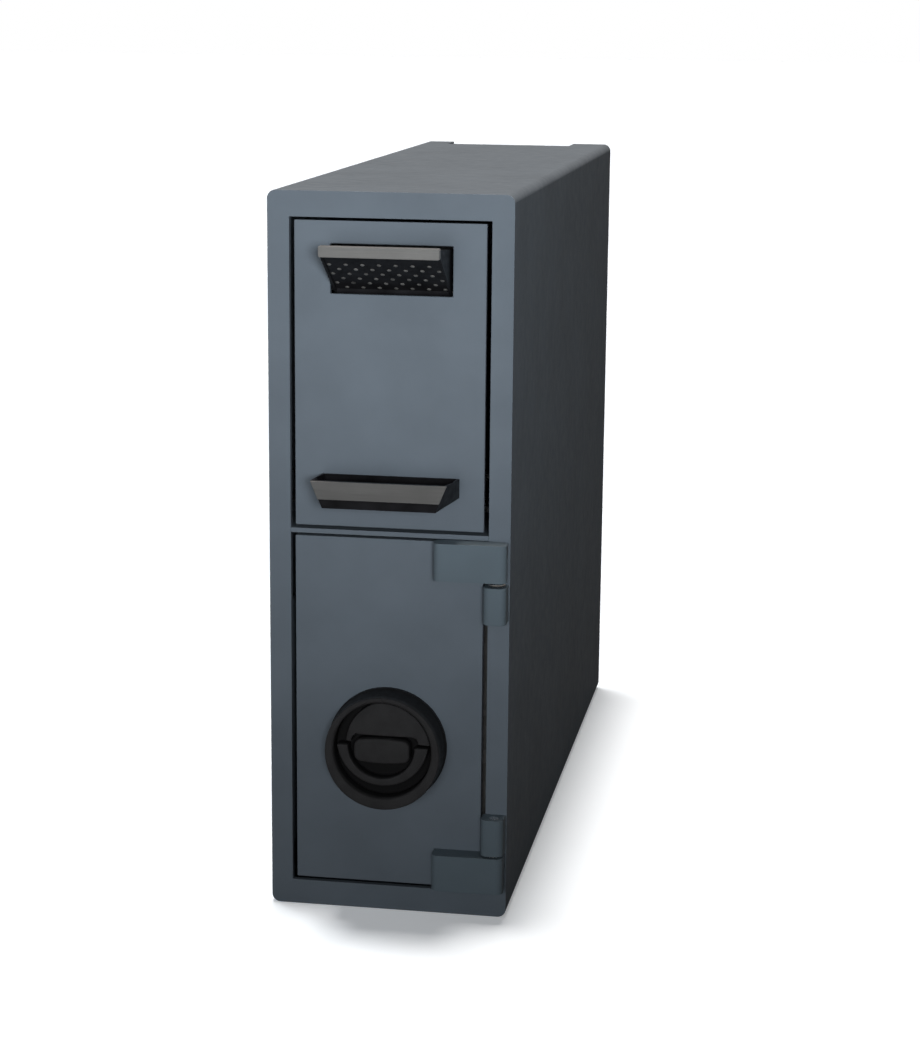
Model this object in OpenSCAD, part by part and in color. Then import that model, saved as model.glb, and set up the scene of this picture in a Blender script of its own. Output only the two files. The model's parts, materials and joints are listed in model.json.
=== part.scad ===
// Narrow under-counter drop safe. A pull-out deposit drawer with a tilting hopper
// stands over a vault, which is closed by a hinged door with a round dial lock.
// The front faces -Y, +Z is up and the origin is the centre of the underside.

/* [Body] */
// Overall width
body_w = 200; // [196:1:260]
// Overall height
body_h = 600; // [590:1:760]
// Overall depth, from the front frame to the back plate
body_d = 700; // [640:5:900]
// Thickness of the wrapped body plate
wall = 5; // [4:0.5:6]
// Outside radius of the four long bends
bend_r = 7; // [6.5:0.5:12]
// Thickness of the front frame
frame_t = 6; // [5:0.5:8]
// Width of the front frame's uprights
stile_w = 18; // [16:0.5:20]
// Height of the front frame's bottom rail
sill_h = 21; // [18:0.5:30]
// Height of the front frame's top rail
head_h = 21; // [18:0.5:30]
// Thickness of the back plate
back_t = 5; // [4:0.5:8]
// Depth of the flange at the back plate's top
flange_d = 45; // [43:1:80]
// Width of the notch at the rear of the top
notch_w = 129; // [60:1:150]
// Sideways place of the notch's centre
notch_x = -4.5; // [-10:0.5:10]
// Depth of the notch
notch_d = 40; // [20:1:42]

/* [Floor anchors] */
// Diameter of the four floor holes
anchor_d = 13; // [9:0.5:16]
// Spacing of the floor holes across the body
anchor_dx = 110; // [60:1:140]
// Spacing of the floor holes from front to back
anchor_dy = 400; // [200:5:460]

/* [Divider] */
// Height of the divider's underside
divider_z = 321.5; // [300:0.5:330]
// Thickness of the divider
divider_t = 4; // [3:0.5:6]
// Width of the drop slot
slot_w = 120; // [80:1:130]
// Distance from the front of the body to the drop slot
slot_setback = 55; // [52:1:64]
// Length of the drop slot from front to back
slot_len = 60; // [50:1:80]
// Thickness of the two slot guards
guard_t = 2; // [1.5:0.5:3]
// Height that the front slot guard hangs down
guard_drop = 33; // [24:1:40]
// Pitch of the saw teeth along the front slot guard
tooth_pitch = 12; // [8:1:20]

/* [Vault door] */
// Thickness of the door plate
door_t = 8; // [6:0.5:10]
// Gap at each side of the door
door_gap_side = 4; // [3:0.5:5]
// Gap between the door and the divider
door_gap_top = 2.1; // [1.5:0.1:3]
// Gap between the door and the bottom rail
door_gap_bottom = 3.3; // [2:0.1:5]
// Depth of the pan that covers the bolt work
pan_d = 44; // [44:1:50]
// Sheet thickness of the pan
pan_t = 2; // [1.5:0.5:3]

/* [Hinges] */
// Diameter of the hinge pins
pin_d = 8; // [6:0.5:10]
// Thickness of the hinge leaves and knuckles
knuckle_t = 17; // [15:0.5:18]
// Running clearance round the hinge pins
pin_play = 0.05; // [0.02:0.01:0.1]
// Gap between the moving knuckle and the frame
hinge_gap = 0.5; // [0.4:0.1:1.5]
// Distance from the body's side to the edge of the knuckles
hinge_inset = 1; // [0:0.5:3]
// Length of the hinge leaves across the door
leaf_w = 60; // [40:1:80]
// Height of the hinge leaves
leaf_h = 31; // [24:0.5:40]
// Height of the top leaf's upper edge over the door's top
leaf_over = 1.9; // [0:0.1:4]
// Height of the bottom leaf's lower edge over the door's bottom
leaf_up = 1.5; // [0:0.1:10]
// Width of the fixed knuckles
knuckle_w = 19; // [18:0.5:20]
// Height of the fixed knuckles
knuckle_h = 31; // [24:0.5:40]
// Gap over the top knuckle, filled by a bearing
bearing_gap_top = 4; // [2:0.5:6]
// Gap under the bottom knuckle, filled by a bearing
bearing_gap_bottom = 2; // [1.5:0.5:6]

/* [Dial lock] */
// Sideways place of the dial
dial_x = -0.5; // [-6:0.5:6]
// Height of the dial's centre
dial_z = 147; // [128:1:170]
// Diameter of the dial ring at the door
ring_d = 99.5; // [96:0.5:110]
// Diameter of the dial ring at its front
ring_front_d = 95.5; // [90:0.5:104]
// Depth of the dial ring
ring_h = 27; // [22:0.5:30]
// Distance that the ring's outside lies below the dial's centre
ring_drop = 2.5; // [0:0.5:3]
// Diameter of the dial
knob_d = 81; // [70:0.5:82]
// Gap round the dial
knob_play = 0.5; // [0.3:0.1:1]
// Diameter of the dial's spindle
spindle_d = 8; // [6:0.5:12]
// Length of the grip across the dial
grip_l = 46; // [36:1:50]
// Width of the grip across the dial
grip_w = 21; // [14:0.5:24]
// Width of the lock case
case_w = 61; // [54:1:66]
// Height of the lock case
case_h = 86; // [82:1:92]
// Depth of the lock case without its cover
case_d = 24; // [24:0.5:26]
// Thickness of the lock case's walls
case_t = 3; // [2:0.5:3.5]
// Diameter of the combination wheels
wheel_d = 44; // [38:0.5:46]

/* [Bolt work] */
// Travel of the locking bolts
throw = 18; // [14:0.5:20]
// Diameter of the locking bolts
bolt_d = 14; // [10:0.5:16]
// Length of the locking bolts
bolt_l = 55; // [48:1:60]
// Height of the lower locking bolt
bolt_z_low = 70; // [64:1:74]
// Height of the upper locking bolt
bolt_z_high = 240; // [220:1:262]
// Clearance round the locking bolts in the keeper
bolt_play = 0.6; // [0.4:0.1:1]
// Thickness of the bolt carriage
carriage_t = 3; // [2:0.5:3]

/* [Deposit drawer] */
// Thickness of the drawer front
front_t = 5; // [4:0.5:6]
// Gap at each side of the drawer front
front_gap_side = 4; // [3:0.5:5]
// Gap over the drawer front
front_gap_top = 2.3; // [1.5:0.1:4]
// Gap under the drawer front
front_gap_bottom = 2.7; // [1.5:0.1:4]
// Width of the drawer box
box_w = 140; // [134:1:141]
// Length of the drawer box behind its front
box_l = 465; // [455:1:520]
// Sheet thickness of the drawer box
box_t = 2; // [1.5:0.5:3]
// Height of the drawer box's low walls
box_wall_h = 121; // [80:1:160]

/* [Hopper] */
// Width of the hopper opening
mouth_w = 99.5; // [90:0.5:110]
// Height of the hopper opening
mouth_h = 40; // [36:0.5:44]
// Distance from the drawer front's top to the hopper opening
mouth_down = 18.3; // [18:0.1:30]
// Sideways place of the fittings on the drawer front
fit_x = 1.25; // [-4:0.25:4]
// Forward reach of the hopper's lip
lip_reach = 52; // [40:1:56]
// Height of the hopper's lip bar
lip_h = 9; // [8:0.5:14]
// Thickness of the hopper's lip bar
lip_t = 6; // [4:0.5:8]
// Slope of the hopper plate at rest
plate_slope = 31; // [26:1:34]
// Sheet thickness of the hopper plate and cheeks
hopper_t = 2; // [1.5:0.5:2.5]
// Radius of the hopper's rear baffle
baffle_r = 35; // [32:0.5:35]
// Diameter of the hopper's pivot rod
rod_d = 4; // [3:0.5:5]
// Diameter of the grip pips on the hopper plate
pip_d = 3.4; // [2:0.1:4.5]

/* [Drawer pull] */
// Width of the pull at its rim
pull_w = 110; // [90:1:120]
// Width of the pull at its bottom
pull_w_low = 91.5; // [80:0.5:104]
// Width of the pull where it meets the drawer front
pull_w_back = 113; // [112:1:124]
// Height of the pull's front
pull_h = 22; // [18:0.5:28]
// Forward reach of the pull
pull_reach = 52; // [36:1:60]
// Height of the pull's underside over the drawer front's bottom
pull_up = 25.3; // [20:0.1:40]
// Wall thickness of the pull
pull_t = 2.5; // [2:0.5:3]
// Height of the bright face plate on the pull
face_h = 14.6; // [10:0.2:16]

/* [Drawer slides] */
// Length of the slide members
slide_l = 440; // [430:5:500]
// Height of the inner slide member
slide_h = 24; // [20:1:28]
// Sheet thickness of the slide members
slide_t = 1.5; // [1:0.1:1.5]
// Gap between the slide members
slide_play = 0.3; // [0.2:0.05:0.4]
// Height of the slides' centre over the drawer front's bottom
slide_up = 27.3; // [24:0.1:40]

/* [Hidden] */
fine = 64;
front_y = -body_d / 2;
back_y = body_d / 2;
frame_y = front_y + frame_t;
in_x = body_w / 2 - wall;
open_x = body_w / 2 - stile_w;
open_top = body_h - head_h;
divider_top = divider_z + divider_t;
bend_in_r = max(bend_r - wall, 0.5);
slot_y0 = front_y + slot_setback;
slot_y1 = slot_y0 + slot_len;

door_x = open_x - door_gap_side;
door_z0 = sill_h + door_gap_bottom;
door_z1 = divider_z - door_gap_top;
door_y = front_y + door_t;
pan_y = door_y + pan_d;
pan_edge = 10;
pan_hinge_edge = 20;
pan_end = 12;
pan_x0 = -door_x + pan_edge;
pan_x1 = door_x - pan_hinge_edge;
pan_z0 = door_z0 + pan_end;
pan_z1 = door_z1 - pan_end;
post_r = 5;
post_inset = 12;
screw_r = 2.5;
head_r = 4.5;
head_h2 = 2.5;
pan_screw_l = 10;

knuckle_r = knuckle_t / 2;
pin_r = pin_d / 2;
pin_x = body_w / 2 - hinge_inset - knuckle_r;
pin_y = front_y - hinge_gap - knuckle_r;
leaf_x0 = pin_x + knuckle_r - leaf_w;
edge_r = 6;
top_leaf_z0 = door_z1 + leaf_over - leaf_h;
top_knuckle_z0 = top_leaf_z0 - bearing_gap_top - knuckle_h;
low_leaf_z0 = door_z0 + leaf_up;
low_leaf_z1 = low_leaf_z0 + leaf_h;
low_knuckle_z0 = low_leaf_z1 + bearing_gap_bottom;
pin_cap = 4;
face_play = 0.1;

dog_t = 8;
dog_reach = 4;
dog_lift = 3;
dog_hook = 12;
dog_inset = (door_z1 - door_z0) / 12;

ring_in_r = knob_d / 2 + knob_play;
ring_base = 5;
ring_chamfer = 1.5;
knob_y = front_y - ring_base - 1;
disc_t = 7;
disc_y = knob_y - disc_t;
dome_edge = 9;
dome_crown = 13.5;
dome_shift = [7, 4.5];
rib_h = 11.5;
rib_r = knob_d / 2 - 2.3;
rib_up = 8;
rib_in_up = 3.7;
rib_shift = 1;
rib_end = 3;
rib_gap = 2.2;
grip_corner = 6;
rib_in_r = grip_corner + rib_gap
    + norm([grip_l / 2 - grip_corner + rib_shift, grip_w / 2 - grip_corner + rib_in_up]);
hub_depth = 8;
spindle_r = spindle_d / 2;
turn_play = 0.05;
case_y = door_y + case_d;
cover_t = 2;
cover_y = case_y + cover_t;
case_post_r = 4.5;
lock_screw_r = 1.6;
key_r = 3;
wheel_t = 2;
wheel_pitch = 4;
latch_play = 0.3;

carriage_gap = 8;
carriage_y = cover_y + carriage_gap;
bolt_r = bolt_d / 2;
bolt_y = carriage_y - bolt_r;
bolt_tip = pan_x0 - 3;
guide_x0 = pan_x0 + pan_t + 1;
guide_w = 5;
link_gap = 2.5;
link_w = 8;
latch_h = 9;
latch_z = dial_z + wheel_d / 2 + 2.5;
latch_y0 = door_y + case_t + 1;
latch_y1 = case_y - case_t - 1;
latch_x0 = dial_x - case_w / 2 - link_gap - link_w;
latch_l = 50;
bar_w = 24;
bolt_over = 9.5;
bar_x = bolt_tip + bolt_l - bolt_over;
bar_x0 = min(latch_x0 + 3, bar_x - bar_w / 2);
bar_x1 = bar_x + bar_w / 2;
bolt_screw_l = 7;
bolt_head_h = 2;
lock_screw_l = 10;
lock_head_h = 1.8;
keeper_t = 4;
keeper_w = 54;
keeper_x = bolt_tip - throw + keeper_t + 1;
keeper_over = 20;

dfront_x = open_x - front_gap_side;
dfront_z0 = divider_top + front_gap_bottom;
dfront_z1 = open_top - front_gap_top;
dfront_y = front_y + front_t;
mouth_z1 = dfront_z1 - mouth_down;
mouth_z0 = mouth_z1 - mouth_h;
box_x = box_w / 2;
box_z0 = dfront_z0 + 4.3;
box_z1 = box_z0 + box_wall_h;
box_y1 = dfront_y + box_l;
high_z = mouth_z1 + 10.5;
chute_l = 57;
chute_rise = 50;
chute_y = dfront_y + chute_l;
ramp_z = box_z0 + 2 * (slot_y0 - dfront_y);
bend_up = 6;
slot_edge = 3;

rod_r = rod_d / 2;
rod_play = 0.05;
rod_y = dfront_y + 5;
rod_z = mouth_z0 + 2.5;
cheek_x = mouth_w / 2 - 2;
spring_l = 8;
ear_x = cheek_x + spring_l + 0.4;
ear_t = 2;
ear_r = 7;
lip_y = front_y - lip_reach;
lip_z = rod_z + (rod_y - lip_y - lip_t) * tan(plate_slope) - hopper_t;
lip_w = 2 * cheek_x + 0.5;
plate_l = (rod_y - lip_y - lip_t) / cos(plate_slope);
pip_rows = 7;
pip_cols = 7;
pip_edge = 0.825;
pip_pitch = (cheek_x - hopper_t - pip_d / 2 - pip_edge) / ((pip_cols - 1) / 2 + 1 / 4);
pip_row = plate_l / 10;

pull_z = dfront_z0 + pull_up;
pull_y = front_y - pull_reach;
pull_back_up = 2.5;
pull_rim_drop = 3.7;
face_t = 2;

slide_z = dfront_z0 + slide_up;
slide_back = 20;
slide_y = frame_y + slide_back;
slide_depth = 7;
middle_x = box_x + slide_depth + 1;
outer_x = middle_x + slide_t + 0.5;
stop_h = box_wall_h / 2;
stop_foot = stop_h * 2 / 3;
stop_t = 4;
buffer_l = 12;
stop_y = box_y1 + buffer_l + 3 * face_play;
buffer_r = 9;
buffer_x = box_x * 4 / 7;

// A box between two corners
module slab(x0, x1, y0, y1, z0, z1) {
    translate([x0, y0, z0]) cube([x1 - x0, y1 - y0, z1 - z0]);
}

// A flat rectangle with round corners
module round_rect(x0, x1, y0, y1, r) {
    translate([x0 + r, y0]) square([x1 - x0 - 2 * r, y1 - y0]);
    translate([x0, y0 + r]) square([x1 - x0, y1 - y0 - 2 * r]);
    for (x = [x0 + r, x1 - r], y = [y0 + r, y1 - r]) {
        translate([x, y]) circle(r, $fn = fine);
    }
}

// A flat outline in X and Z, carried along Y
module along_y(y0, y1) {
    translate([0, y1, 0]) rotate([90, 0, 0]) linear_extrude(y1 - y0) children();
}

// A flat outline in Y and Z, carried along X
module along_x(x0, x1) {
    translate([x0, 0, 0]) rotate([90, 0, 90]) linear_extrude(x1 - x0) children();
}

// A flat outline in X and Y, carried along Z
module along_z(z0, z1) {
    translate([0, 0, z0]) linear_extrude(z1 - z0) children();
}

module rod_along_x(y, z, x0, x1, r) {
    translate([x0, y, z]) rotate([0, 90, 0]) cylinder(h = x1 - x0, r = r, $fn = fine);
}

module rod_along_y(x, z, y0, y1, r) {
    translate([x, y1, z]) rotate([90, 0, 0]) cylinder(h = y1 - y0, r = r, $fn = fine);
}

module rod_along_z(x, y, z0, z1, r) {
    translate([x, y, z0]) cylinder(h = z1 - z0, r = r, $fn = fine);
}

// The same shape at both sides of the middle plane
module both_sides() {
    children();
    mirror([1, 0, 0]) children();
}

// A sheet of even thickness along a line of points in Y and Z
module bent_sheet(x0, x1, points, t) {
    for (i = [0 : len(points) - 2]) {
        a = points[i];
        b = points[i + 1];
        n = [a[1] - b[1], b[0] - a[0]] / norm(b - a) * t / 2;
        along_x(x0, x1) polygon([a - n, b - n, b + n, a + n]);
    }
    for (i = [1 : 1 : len(points) - 2]) {
        rod_along_x(points[i][0], points[i][1], x0, x1, t / 2);
    }
}

// The body wrap: top, bottom and sides bent from one plate
module body_shell() {
    color([0.36, 0.40, 0.43]) difference() {
        along_y(frame_y, back_y) round_rect(-body_w / 2, body_w / 2, 0, body_h, bend_r);
        along_y(frame_y - 1, back_y + 1) round_rect(-in_x, in_x, wall, body_h - wall, bend_in_r);
        slab(notch_x - notch_w / 2, notch_x + notch_w / 2,
            back_y - notch_d, back_y + 1, body_h - wall - 1, body_h + 1);
        for (x = [-1, 1] * anchor_dx / 2, y = [-1, 1] * anchor_dy / 2) {
            rod_along_z(x, y, -1, wall + 1, anchor_d / 2);
        }
    }
}

module front_frame() {
    color([0.40, 0.44, 0.47]) difference() {
        along_y(front_y, frame_y) round_rect(-body_w / 2, body_w / 2, 0, body_h, bend_r);
        slab(-open_x, open_x, front_y - 1, frame_y + 1, sill_h, open_top);
    }
}

// The back plate, with a flange under the rear edge of the top
module back_plate() {
    color([0.36, 0.40, 0.43]) {
        slab(-in_x, in_x, back_y - back_t, back_y, wall + bend_in_r, body_h - wall - bend_in_r);
        slab(-in_x + bend_in_r, in_x - bend_in_r, back_y - back_t, back_y, wall, body_h - wall);
        slab(-in_x + bend_in_r, in_x - bend_in_r,
            back_y - flange_d, back_y - back_t, body_h - wall - back_t, body_h - wall);
    }
}

// The floor of the drawer bay, which shows as a strip between drawer and door
module divider_shelf() {
    color([0.36, 0.40, 0.43]) difference() {
        union() {
            slab(-open_x, open_x, front_y, frame_y, divider_z, divider_top);
            slab(-in_x, in_x, frame_y, back_y - back_t, divider_z, divider_top);
        }
        slab(-slot_w / 2, slot_w / 2, slot_y0, slot_y1, divider_z - 1, divider_top + 1);
    }
}

// A sloping plate with saw teeth, so that nothing can be drawn back up
module slot_guard_front() {
    run = slot_len * 0.55;
    slope = norm([run, guard_drop]);
    tilt = atan2(guard_drop, run);
    n = floor(slot_w / tooth_pitch);
    x0 = -n * tooth_pitch / 2;
    teeth = [for (i = [0 : n * 2]) [x0 + i * tooth_pitch / 2, slope - (i % 2 == 0 ? 7 : 0)]];
    color([0.55, 0.57, 0.58]) translate([0, slot_y0 - guard_t, divider_z]) difference() {
        rotate([-tilt, 0, 0]) translate([0, 0, -guard_t]) linear_extrude(guard_t)
            polygon(concat([[-x0, 0], [x0, 0]], teeth));
        slab(-slot_w, slot_w, -slot_w, slot_w, 0, slot_w);
    }
}

module slot_guard_rear() {
    y = slot_y1 + guard_t / 2;
    z = divider_z - guard_drop * 1.6;
    color([0.55, 0.57, 0.58]) difference() {
        bent_sheet(-slot_w / 2, slot_w / 2,
            [[y, divider_z + guard_t], [y, z], [y - slot_len * 0.5, z - guard_drop * 0.6]], guard_t);
        slab(-slot_w, slot_w, slot_y0, back_y, divider_z, divider_top + guard_t);
    }
}

// A flat bar behind the left upright, with a hole for each locking bolt
module bolt_keeper() {
    color([0.36, 0.40, 0.43]) difference() {
        slab(keeper_x - keeper_t, keeper_x, frame_y, frame_y + keeper_w,
            bolt_z_low - keeper_over, bolt_z_high + keeper_over);
        for (z = [bolt_z_low, bolt_z_high]) {
            rod_along_x(bolt_y, z, keeper_x - keeper_t - 1, keeper_x + 1, bolt_r + bolt_play);
        }
    }
}

// A fixed knuckle on the right upright
module knuckle(z0) {
    color([0.33, 0.38, 0.40]) difference() {
        along_z(z0, z0 + knuckle_h) {
            x1 = pin_x + knuckle_r;
            y0 = pin_y - knuckle_r;
            round_rect(x1 - knuckle_w, x1, y0, front_y, edge_r);
            translate([x1 - knuckle_w, pin_y]) square([knuckle_w, front_y - pin_y]);
        }
        rod_along_z(pin_x, pin_y, z0 - 1, z0 + knuckle_h + 1, pin_r);
    }
}

module top_knuckle() {
    knuckle(top_knuckle_z0);
}

module bottom_knuckle() {
    knuckle(low_knuckle_z0);
}

module top_hinge_pin() {
    color([0.75, 0.75, 0.74])
        rod_along_z(pin_x, pin_y, top_knuckle_z0, top_leaf_z0 + leaf_h - pin_cap - 1, pin_r);
}

module bottom_hinge_pin() {
    color([0.75, 0.75, 0.74])
        rod_along_z(pin_x, pin_y, low_leaf_z0 + pin_cap + 1, low_knuckle_z0 + knuckle_h, pin_r);
}

// A round bearing ring on a hinge pin
module bearing(z0, h) {
    translate([pin_x, pin_y, z0]) rotate_extrude($fn = fine) intersection() {
        union() {
            translate([pin_r, 0]) square([1.3, h]);
            translate([pin_r + 1.3, h / 2]) circle(h / 2, $fn = fine);
        }
        translate([pin_r, 0]) square([h + 2, h]);
    }
}

module hinge_bearings() {
    color([0.85, 0.85, 0.84]) {
        bearing(top_knuckle_z0 + knuckle_h, bearing_gap_top - face_play);
        bearing(low_leaf_z1 + face_play, bearing_gap_bottom - face_play);
    }
}

// Folded steel channels that carry the slides off the body's sides
module slide_spacers() {
    h = slide_h / 2 + 2;
    x0 = outer_x + slide_t;
    color([0.55, 0.57, 0.58]) both_sides() difference() {
        slab(x0, in_x, slide_y, slide_y + slide_l, slide_z - h, slide_z + h);
        slab(x0 + 2.5, in_x + 1, slide_y - 1, slide_y + slide_l + 1,
            slide_z - h + 2.5, slide_z + h - 2.5);
    }
}

// One channel of a telescopic slide, with its web at x1 and its lips at x0
module channel(x0, x1, h, y0) {
    slab(x1 - slide_t, x1, y0, y0 + slide_l, slide_z - h, slide_z + h);
    slab(x0, x1 - slide_t, y0, y0 + slide_l, slide_z + h - slide_t, slide_z + h);
    slab(x0, x1 - slide_t, y0, y0 + slide_l, slide_z - h, slide_z - h + slide_t);
}

module outer_slides() {
    h = slide_h / 2 + 2 * (slide_play + slide_t);
    color([0.72, 0.73, 0.74]) both_sides()
        channel(outer_x - 6, outer_x + slide_t, h, slide_y);
}

module middle_slides() {
    h = slide_h / 2 + slide_play + slide_t;
    color([0.72, 0.73, 0.74]) both_sides()
        channel(middle_x - 5.7, middle_x + slide_t, h, slide_y);
}

// The members on the drawer box, lips outwards
module inner_slides() {
    h = slide_h / 2;
    color([0.72, 0.73, 0.74]) both_sides() {
        slab(box_x, box_x + slide_t, slide_y, slide_y + slide_l, slide_z - h, slide_z + h);
        for (z = [slide_z - h, slide_z + h - slide_t]) {
            slab(box_x + slide_t, box_x + slide_depth,
                slide_y, slide_y + slide_l, z, z + slide_t);
        }
    }
}

// An angle welded to the divider, which stops the drawer
module drawer_stop() {
    x = box_x - 10;
    color([0.55, 0.57, 0.58]) {
        slab(-x, x, stop_y, stop_y + stop_t, divider_top, divider_top + stop_h);
        slab(-x, x, stop_y + stop_t, stop_y + stop_foot, divider_top, divider_top + stop_t);
    }
}

module stop_buffers() {
    z = divider_top + stop_h - 2 * buffer_r;
    color([0.10, 0.10, 0.10]) for (x = [-1, 1] * buffer_x) {
        rod_along_y(x, z, stop_y - buffer_l, stop_y, buffer_r);
    }
}

module door_plate() {
    color([0.36, 0.40, 0.43]) difference() {
        slab(-door_x, door_x, front_y, door_y, door_z0, door_z1);
        rod_along_y(dial_x, dial_z, front_y - 1, door_y + 1, spindle_r + 1);
    }
}

// A hinge leaf whose right end turns on the pin
module leaf(z0, bore_z0, bore_z1) {
    color([0.33, 0.38, 0.40]) difference() {
        union() {
            along_z(z0, z0 + leaf_h) {
                difference() {
                    round_rect(leaf_x0, pin_x + knuckle_r, pin_y - knuckle_r, pin_y + knuckle_r, edge_r);
                    translate([pin_x, pin_y]) square(knuckle_t);
                }
                translate([pin_x, pin_y]) circle(knuckle_r, $fn = fine);
            }
            slab(leaf_x0, door_x, pin_y, front_y, z0, min(z0 + leaf_h, door_z1));
        }
        rod_along_z(pin_x, pin_y, bore_z0, bore_z1, pin_r + pin_play);
    }
}

module top_hinge_leaf() {
    leaf(top_leaf_z0, top_leaf_z0 - 1, top_leaf_z0 + leaf_h - pin_cap);
}

module bottom_hinge_leaf() {
    leaf(low_leaf_z0, low_leaf_z0 + pin_cap, low_leaf_z1 + 1);
}

// A fixed bar on the hinge side that hooks behind the right upright
module dog_bar() {
    x1 = open_x + dog_reach;
    z0 = pan_z0 + dog_inset;
    z1 = pan_z1 - dog_inset;
    color([0.55, 0.57, 0.58]) {
        slab(pan_x1 + pan_t, x1 - dog_hook, door_y, door_y + dog_lift + dog_t, z0, z1);
        slab(x1 - dog_hook, x1, door_y + dog_lift, door_y + dog_lift + dog_t, z0, z1);
    }
}

// The cover over the bolt work, open towards the door plate
module door_pan() {
    color([0.36, 0.40, 0.43]) difference() {
        slab(pan_x0, pan_x1, door_y, pan_y, pan_z0, pan_z1);
        slab(pan_x0 + pan_t, pan_x1 - pan_t, door_y - 1, pan_y - pan_t,
            pan_z0 + pan_t, pan_z1 - pan_t);
        for (z = [bolt_z_low, bolt_z_high]) {
            rod_along_x(bolt_y, z, pan_x0 - 1, pan_x0 + pan_t + 1, bolt_r + bolt_play);
        }
        for (x = [pan_x0 + post_inset, pan_x1 - post_inset]) {
            for (z = [pan_z0 + post_inset, pan_z1 - post_inset]) {
                rod_along_y(x, z, pan_y - pan_t - 1, pan_y + 1, screw_r);
            }
        }
    }
}

module pan_posts() {
    color([0.62, 0.64, 0.65])
    for (x = [pan_x0 + post_inset, pan_x1 - post_inset]) {
        for (z = [pan_z0 + post_inset, pan_z1 - post_inset]) {
            difference() {
                rod_along_y(x, z, door_y, pan_y - pan_t, post_r);
                rod_along_y(x, z, pan_y - pan_t - pan_screw_l - 2, pan_y, screw_r);
            }
        }
    }
}

module pan_screws() {
    color([0.70, 0.70, 0.70])
    for (x = [pan_x0 + post_inset, pan_x1 - post_inset]) {
        for (z = [pan_z0 + post_inset, pan_z1 - post_inset]) {
            rod_along_y(x, z, pan_y - pan_t - pan_screw_l, pan_y, screw_r);
            rod_along_y(x, z, pan_y, pan_y + head_h2, head_r);
        }
    }
}

// The four corners of the lock case where its cover screws go
function case_corners(inset) = [
    for (x = [-1, 1], z = [-1, 1])
        [dial_x + x * (case_w / 2 - inset), dial_z + z * (case_h / 2 - inset)]
];

module lock_case() {
    x0 = dial_x - case_w / 2;
    x1 = dial_x + case_w / 2;
    z0 = dial_z - case_h / 2;
    z1 = dial_z + case_h / 2;
    color([0.66, 0.62, 0.50]) difference() {
        union() {
            difference() {
                slab(x0, x1, door_y, case_y, z0, z1);
                slab(x0 + case_t, x1 - case_t, door_y + case_t, case_y + 1, z0 + case_t, z1 - case_t);
            }
            for (p = case_corners(case_post_r)) {
                rod_along_y(p[0], p[1], door_y + 1, case_y, case_post_r - 0.5);
            }
        }
        for (p = case_corners(case_post_r)) {
            rod_along_y(p[0], p[1], case_y - lock_screw_l - 2, case_y + 1, lock_screw_r);
        }
        slab(x0 - 1, x0 + case_t + 6, latch_y0 - latch_play, latch_y1 + latch_play,
            latch_z - latch_play, latch_z + latch_h + latch_play);
        rod_along_y(dial_x, dial_z, door_y - 1, door_y + case_t + 1, spindle_r + turn_play);
    }
}

// The cover of the lock case, with the hole for the key that sets a new combination
module lock_cover() {
    color([0.66, 0.62, 0.50]) difference() {
        slab(dial_x - case_w / 2, dial_x + case_w / 2, case_y, cover_y,
            dial_z - case_h / 2, dial_z + case_h / 2);
        rod_along_y(dial_x, dial_z - wheel_d / 3, case_y - 1, cover_y + 1, key_r);
        for (p = case_corners(case_post_r)) {
            rod_along_y(p[0], p[1], case_y - 1, cover_y + 1, lock_screw_r);
        }
    }
}

module lock_screws() {
    color([0.70, 0.70, 0.70]) for (p = case_corners(case_post_r)) {
        rod_along_y(p[0], p[1], case_y - lock_screw_l, cover_y, lock_screw_r);
        rod_along_y(p[0], p[1], cover_y, cover_y + lock_head_h, lock_screw_r * 2);
    }
}

module bolt_guides() {
    color([0.62, 0.64, 0.65]) for (z = [bolt_z_low, bolt_z_high]) {
        difference() {
            slab(guide_x0, guide_x0 + guide_w, door_y, bolt_y + bolt_r + 4,
                z - bolt_r - 4, z + bolt_r + 4);
            rod_along_x(bolt_y, z, guide_x0 - 1, guide_x0 + guide_w + 1, bolt_r + turn_play);
        }
    }
}

// A turned shape on the dial's axis: x is the radius and y runs forward from the door
module turned(y, z, profile) {
    translate([dial_x, y, z]) rotate([90, 0, 0]) rotate_extrude($fn = fine) polygon(profile);
}

// The fixed round housing that the dial turns in, thicker at its bottom
module dial_ring() {
    r = ring_front_d / 2;
    y1 = ring_h - ring_chamfer;
    color([0.10, 0.10, 0.11]) difference() {
        turned(front_y, dial_z - ring_drop, [
            [0, 0], [ring_d / 2, 0], [ring_d / 2, 4], [r + 1, 6],
            [r, y1], [r - ring_chamfer, ring_h], [0, ring_h]
        ]);
        turned(front_y, dial_z, [
            [0, ring_base], [ring_in_r, ring_base], [ring_in_r, y1],
            [ring_in_r + ring_chamfer + 1, ring_h + 1], [0, ring_h + 1]
        ]);
        rod_along_y(dial_x, dial_z, front_y - ring_base - 1, front_y + 1, spindle_r + 1);
        slab(dial_x - 0.6, dial_x + 0.6, front_y - ring_h - 1, front_y - ring_h + 0.6,
            dial_z + ring_in_r, dial_z + ring_d / 2);
    }
}

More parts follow.
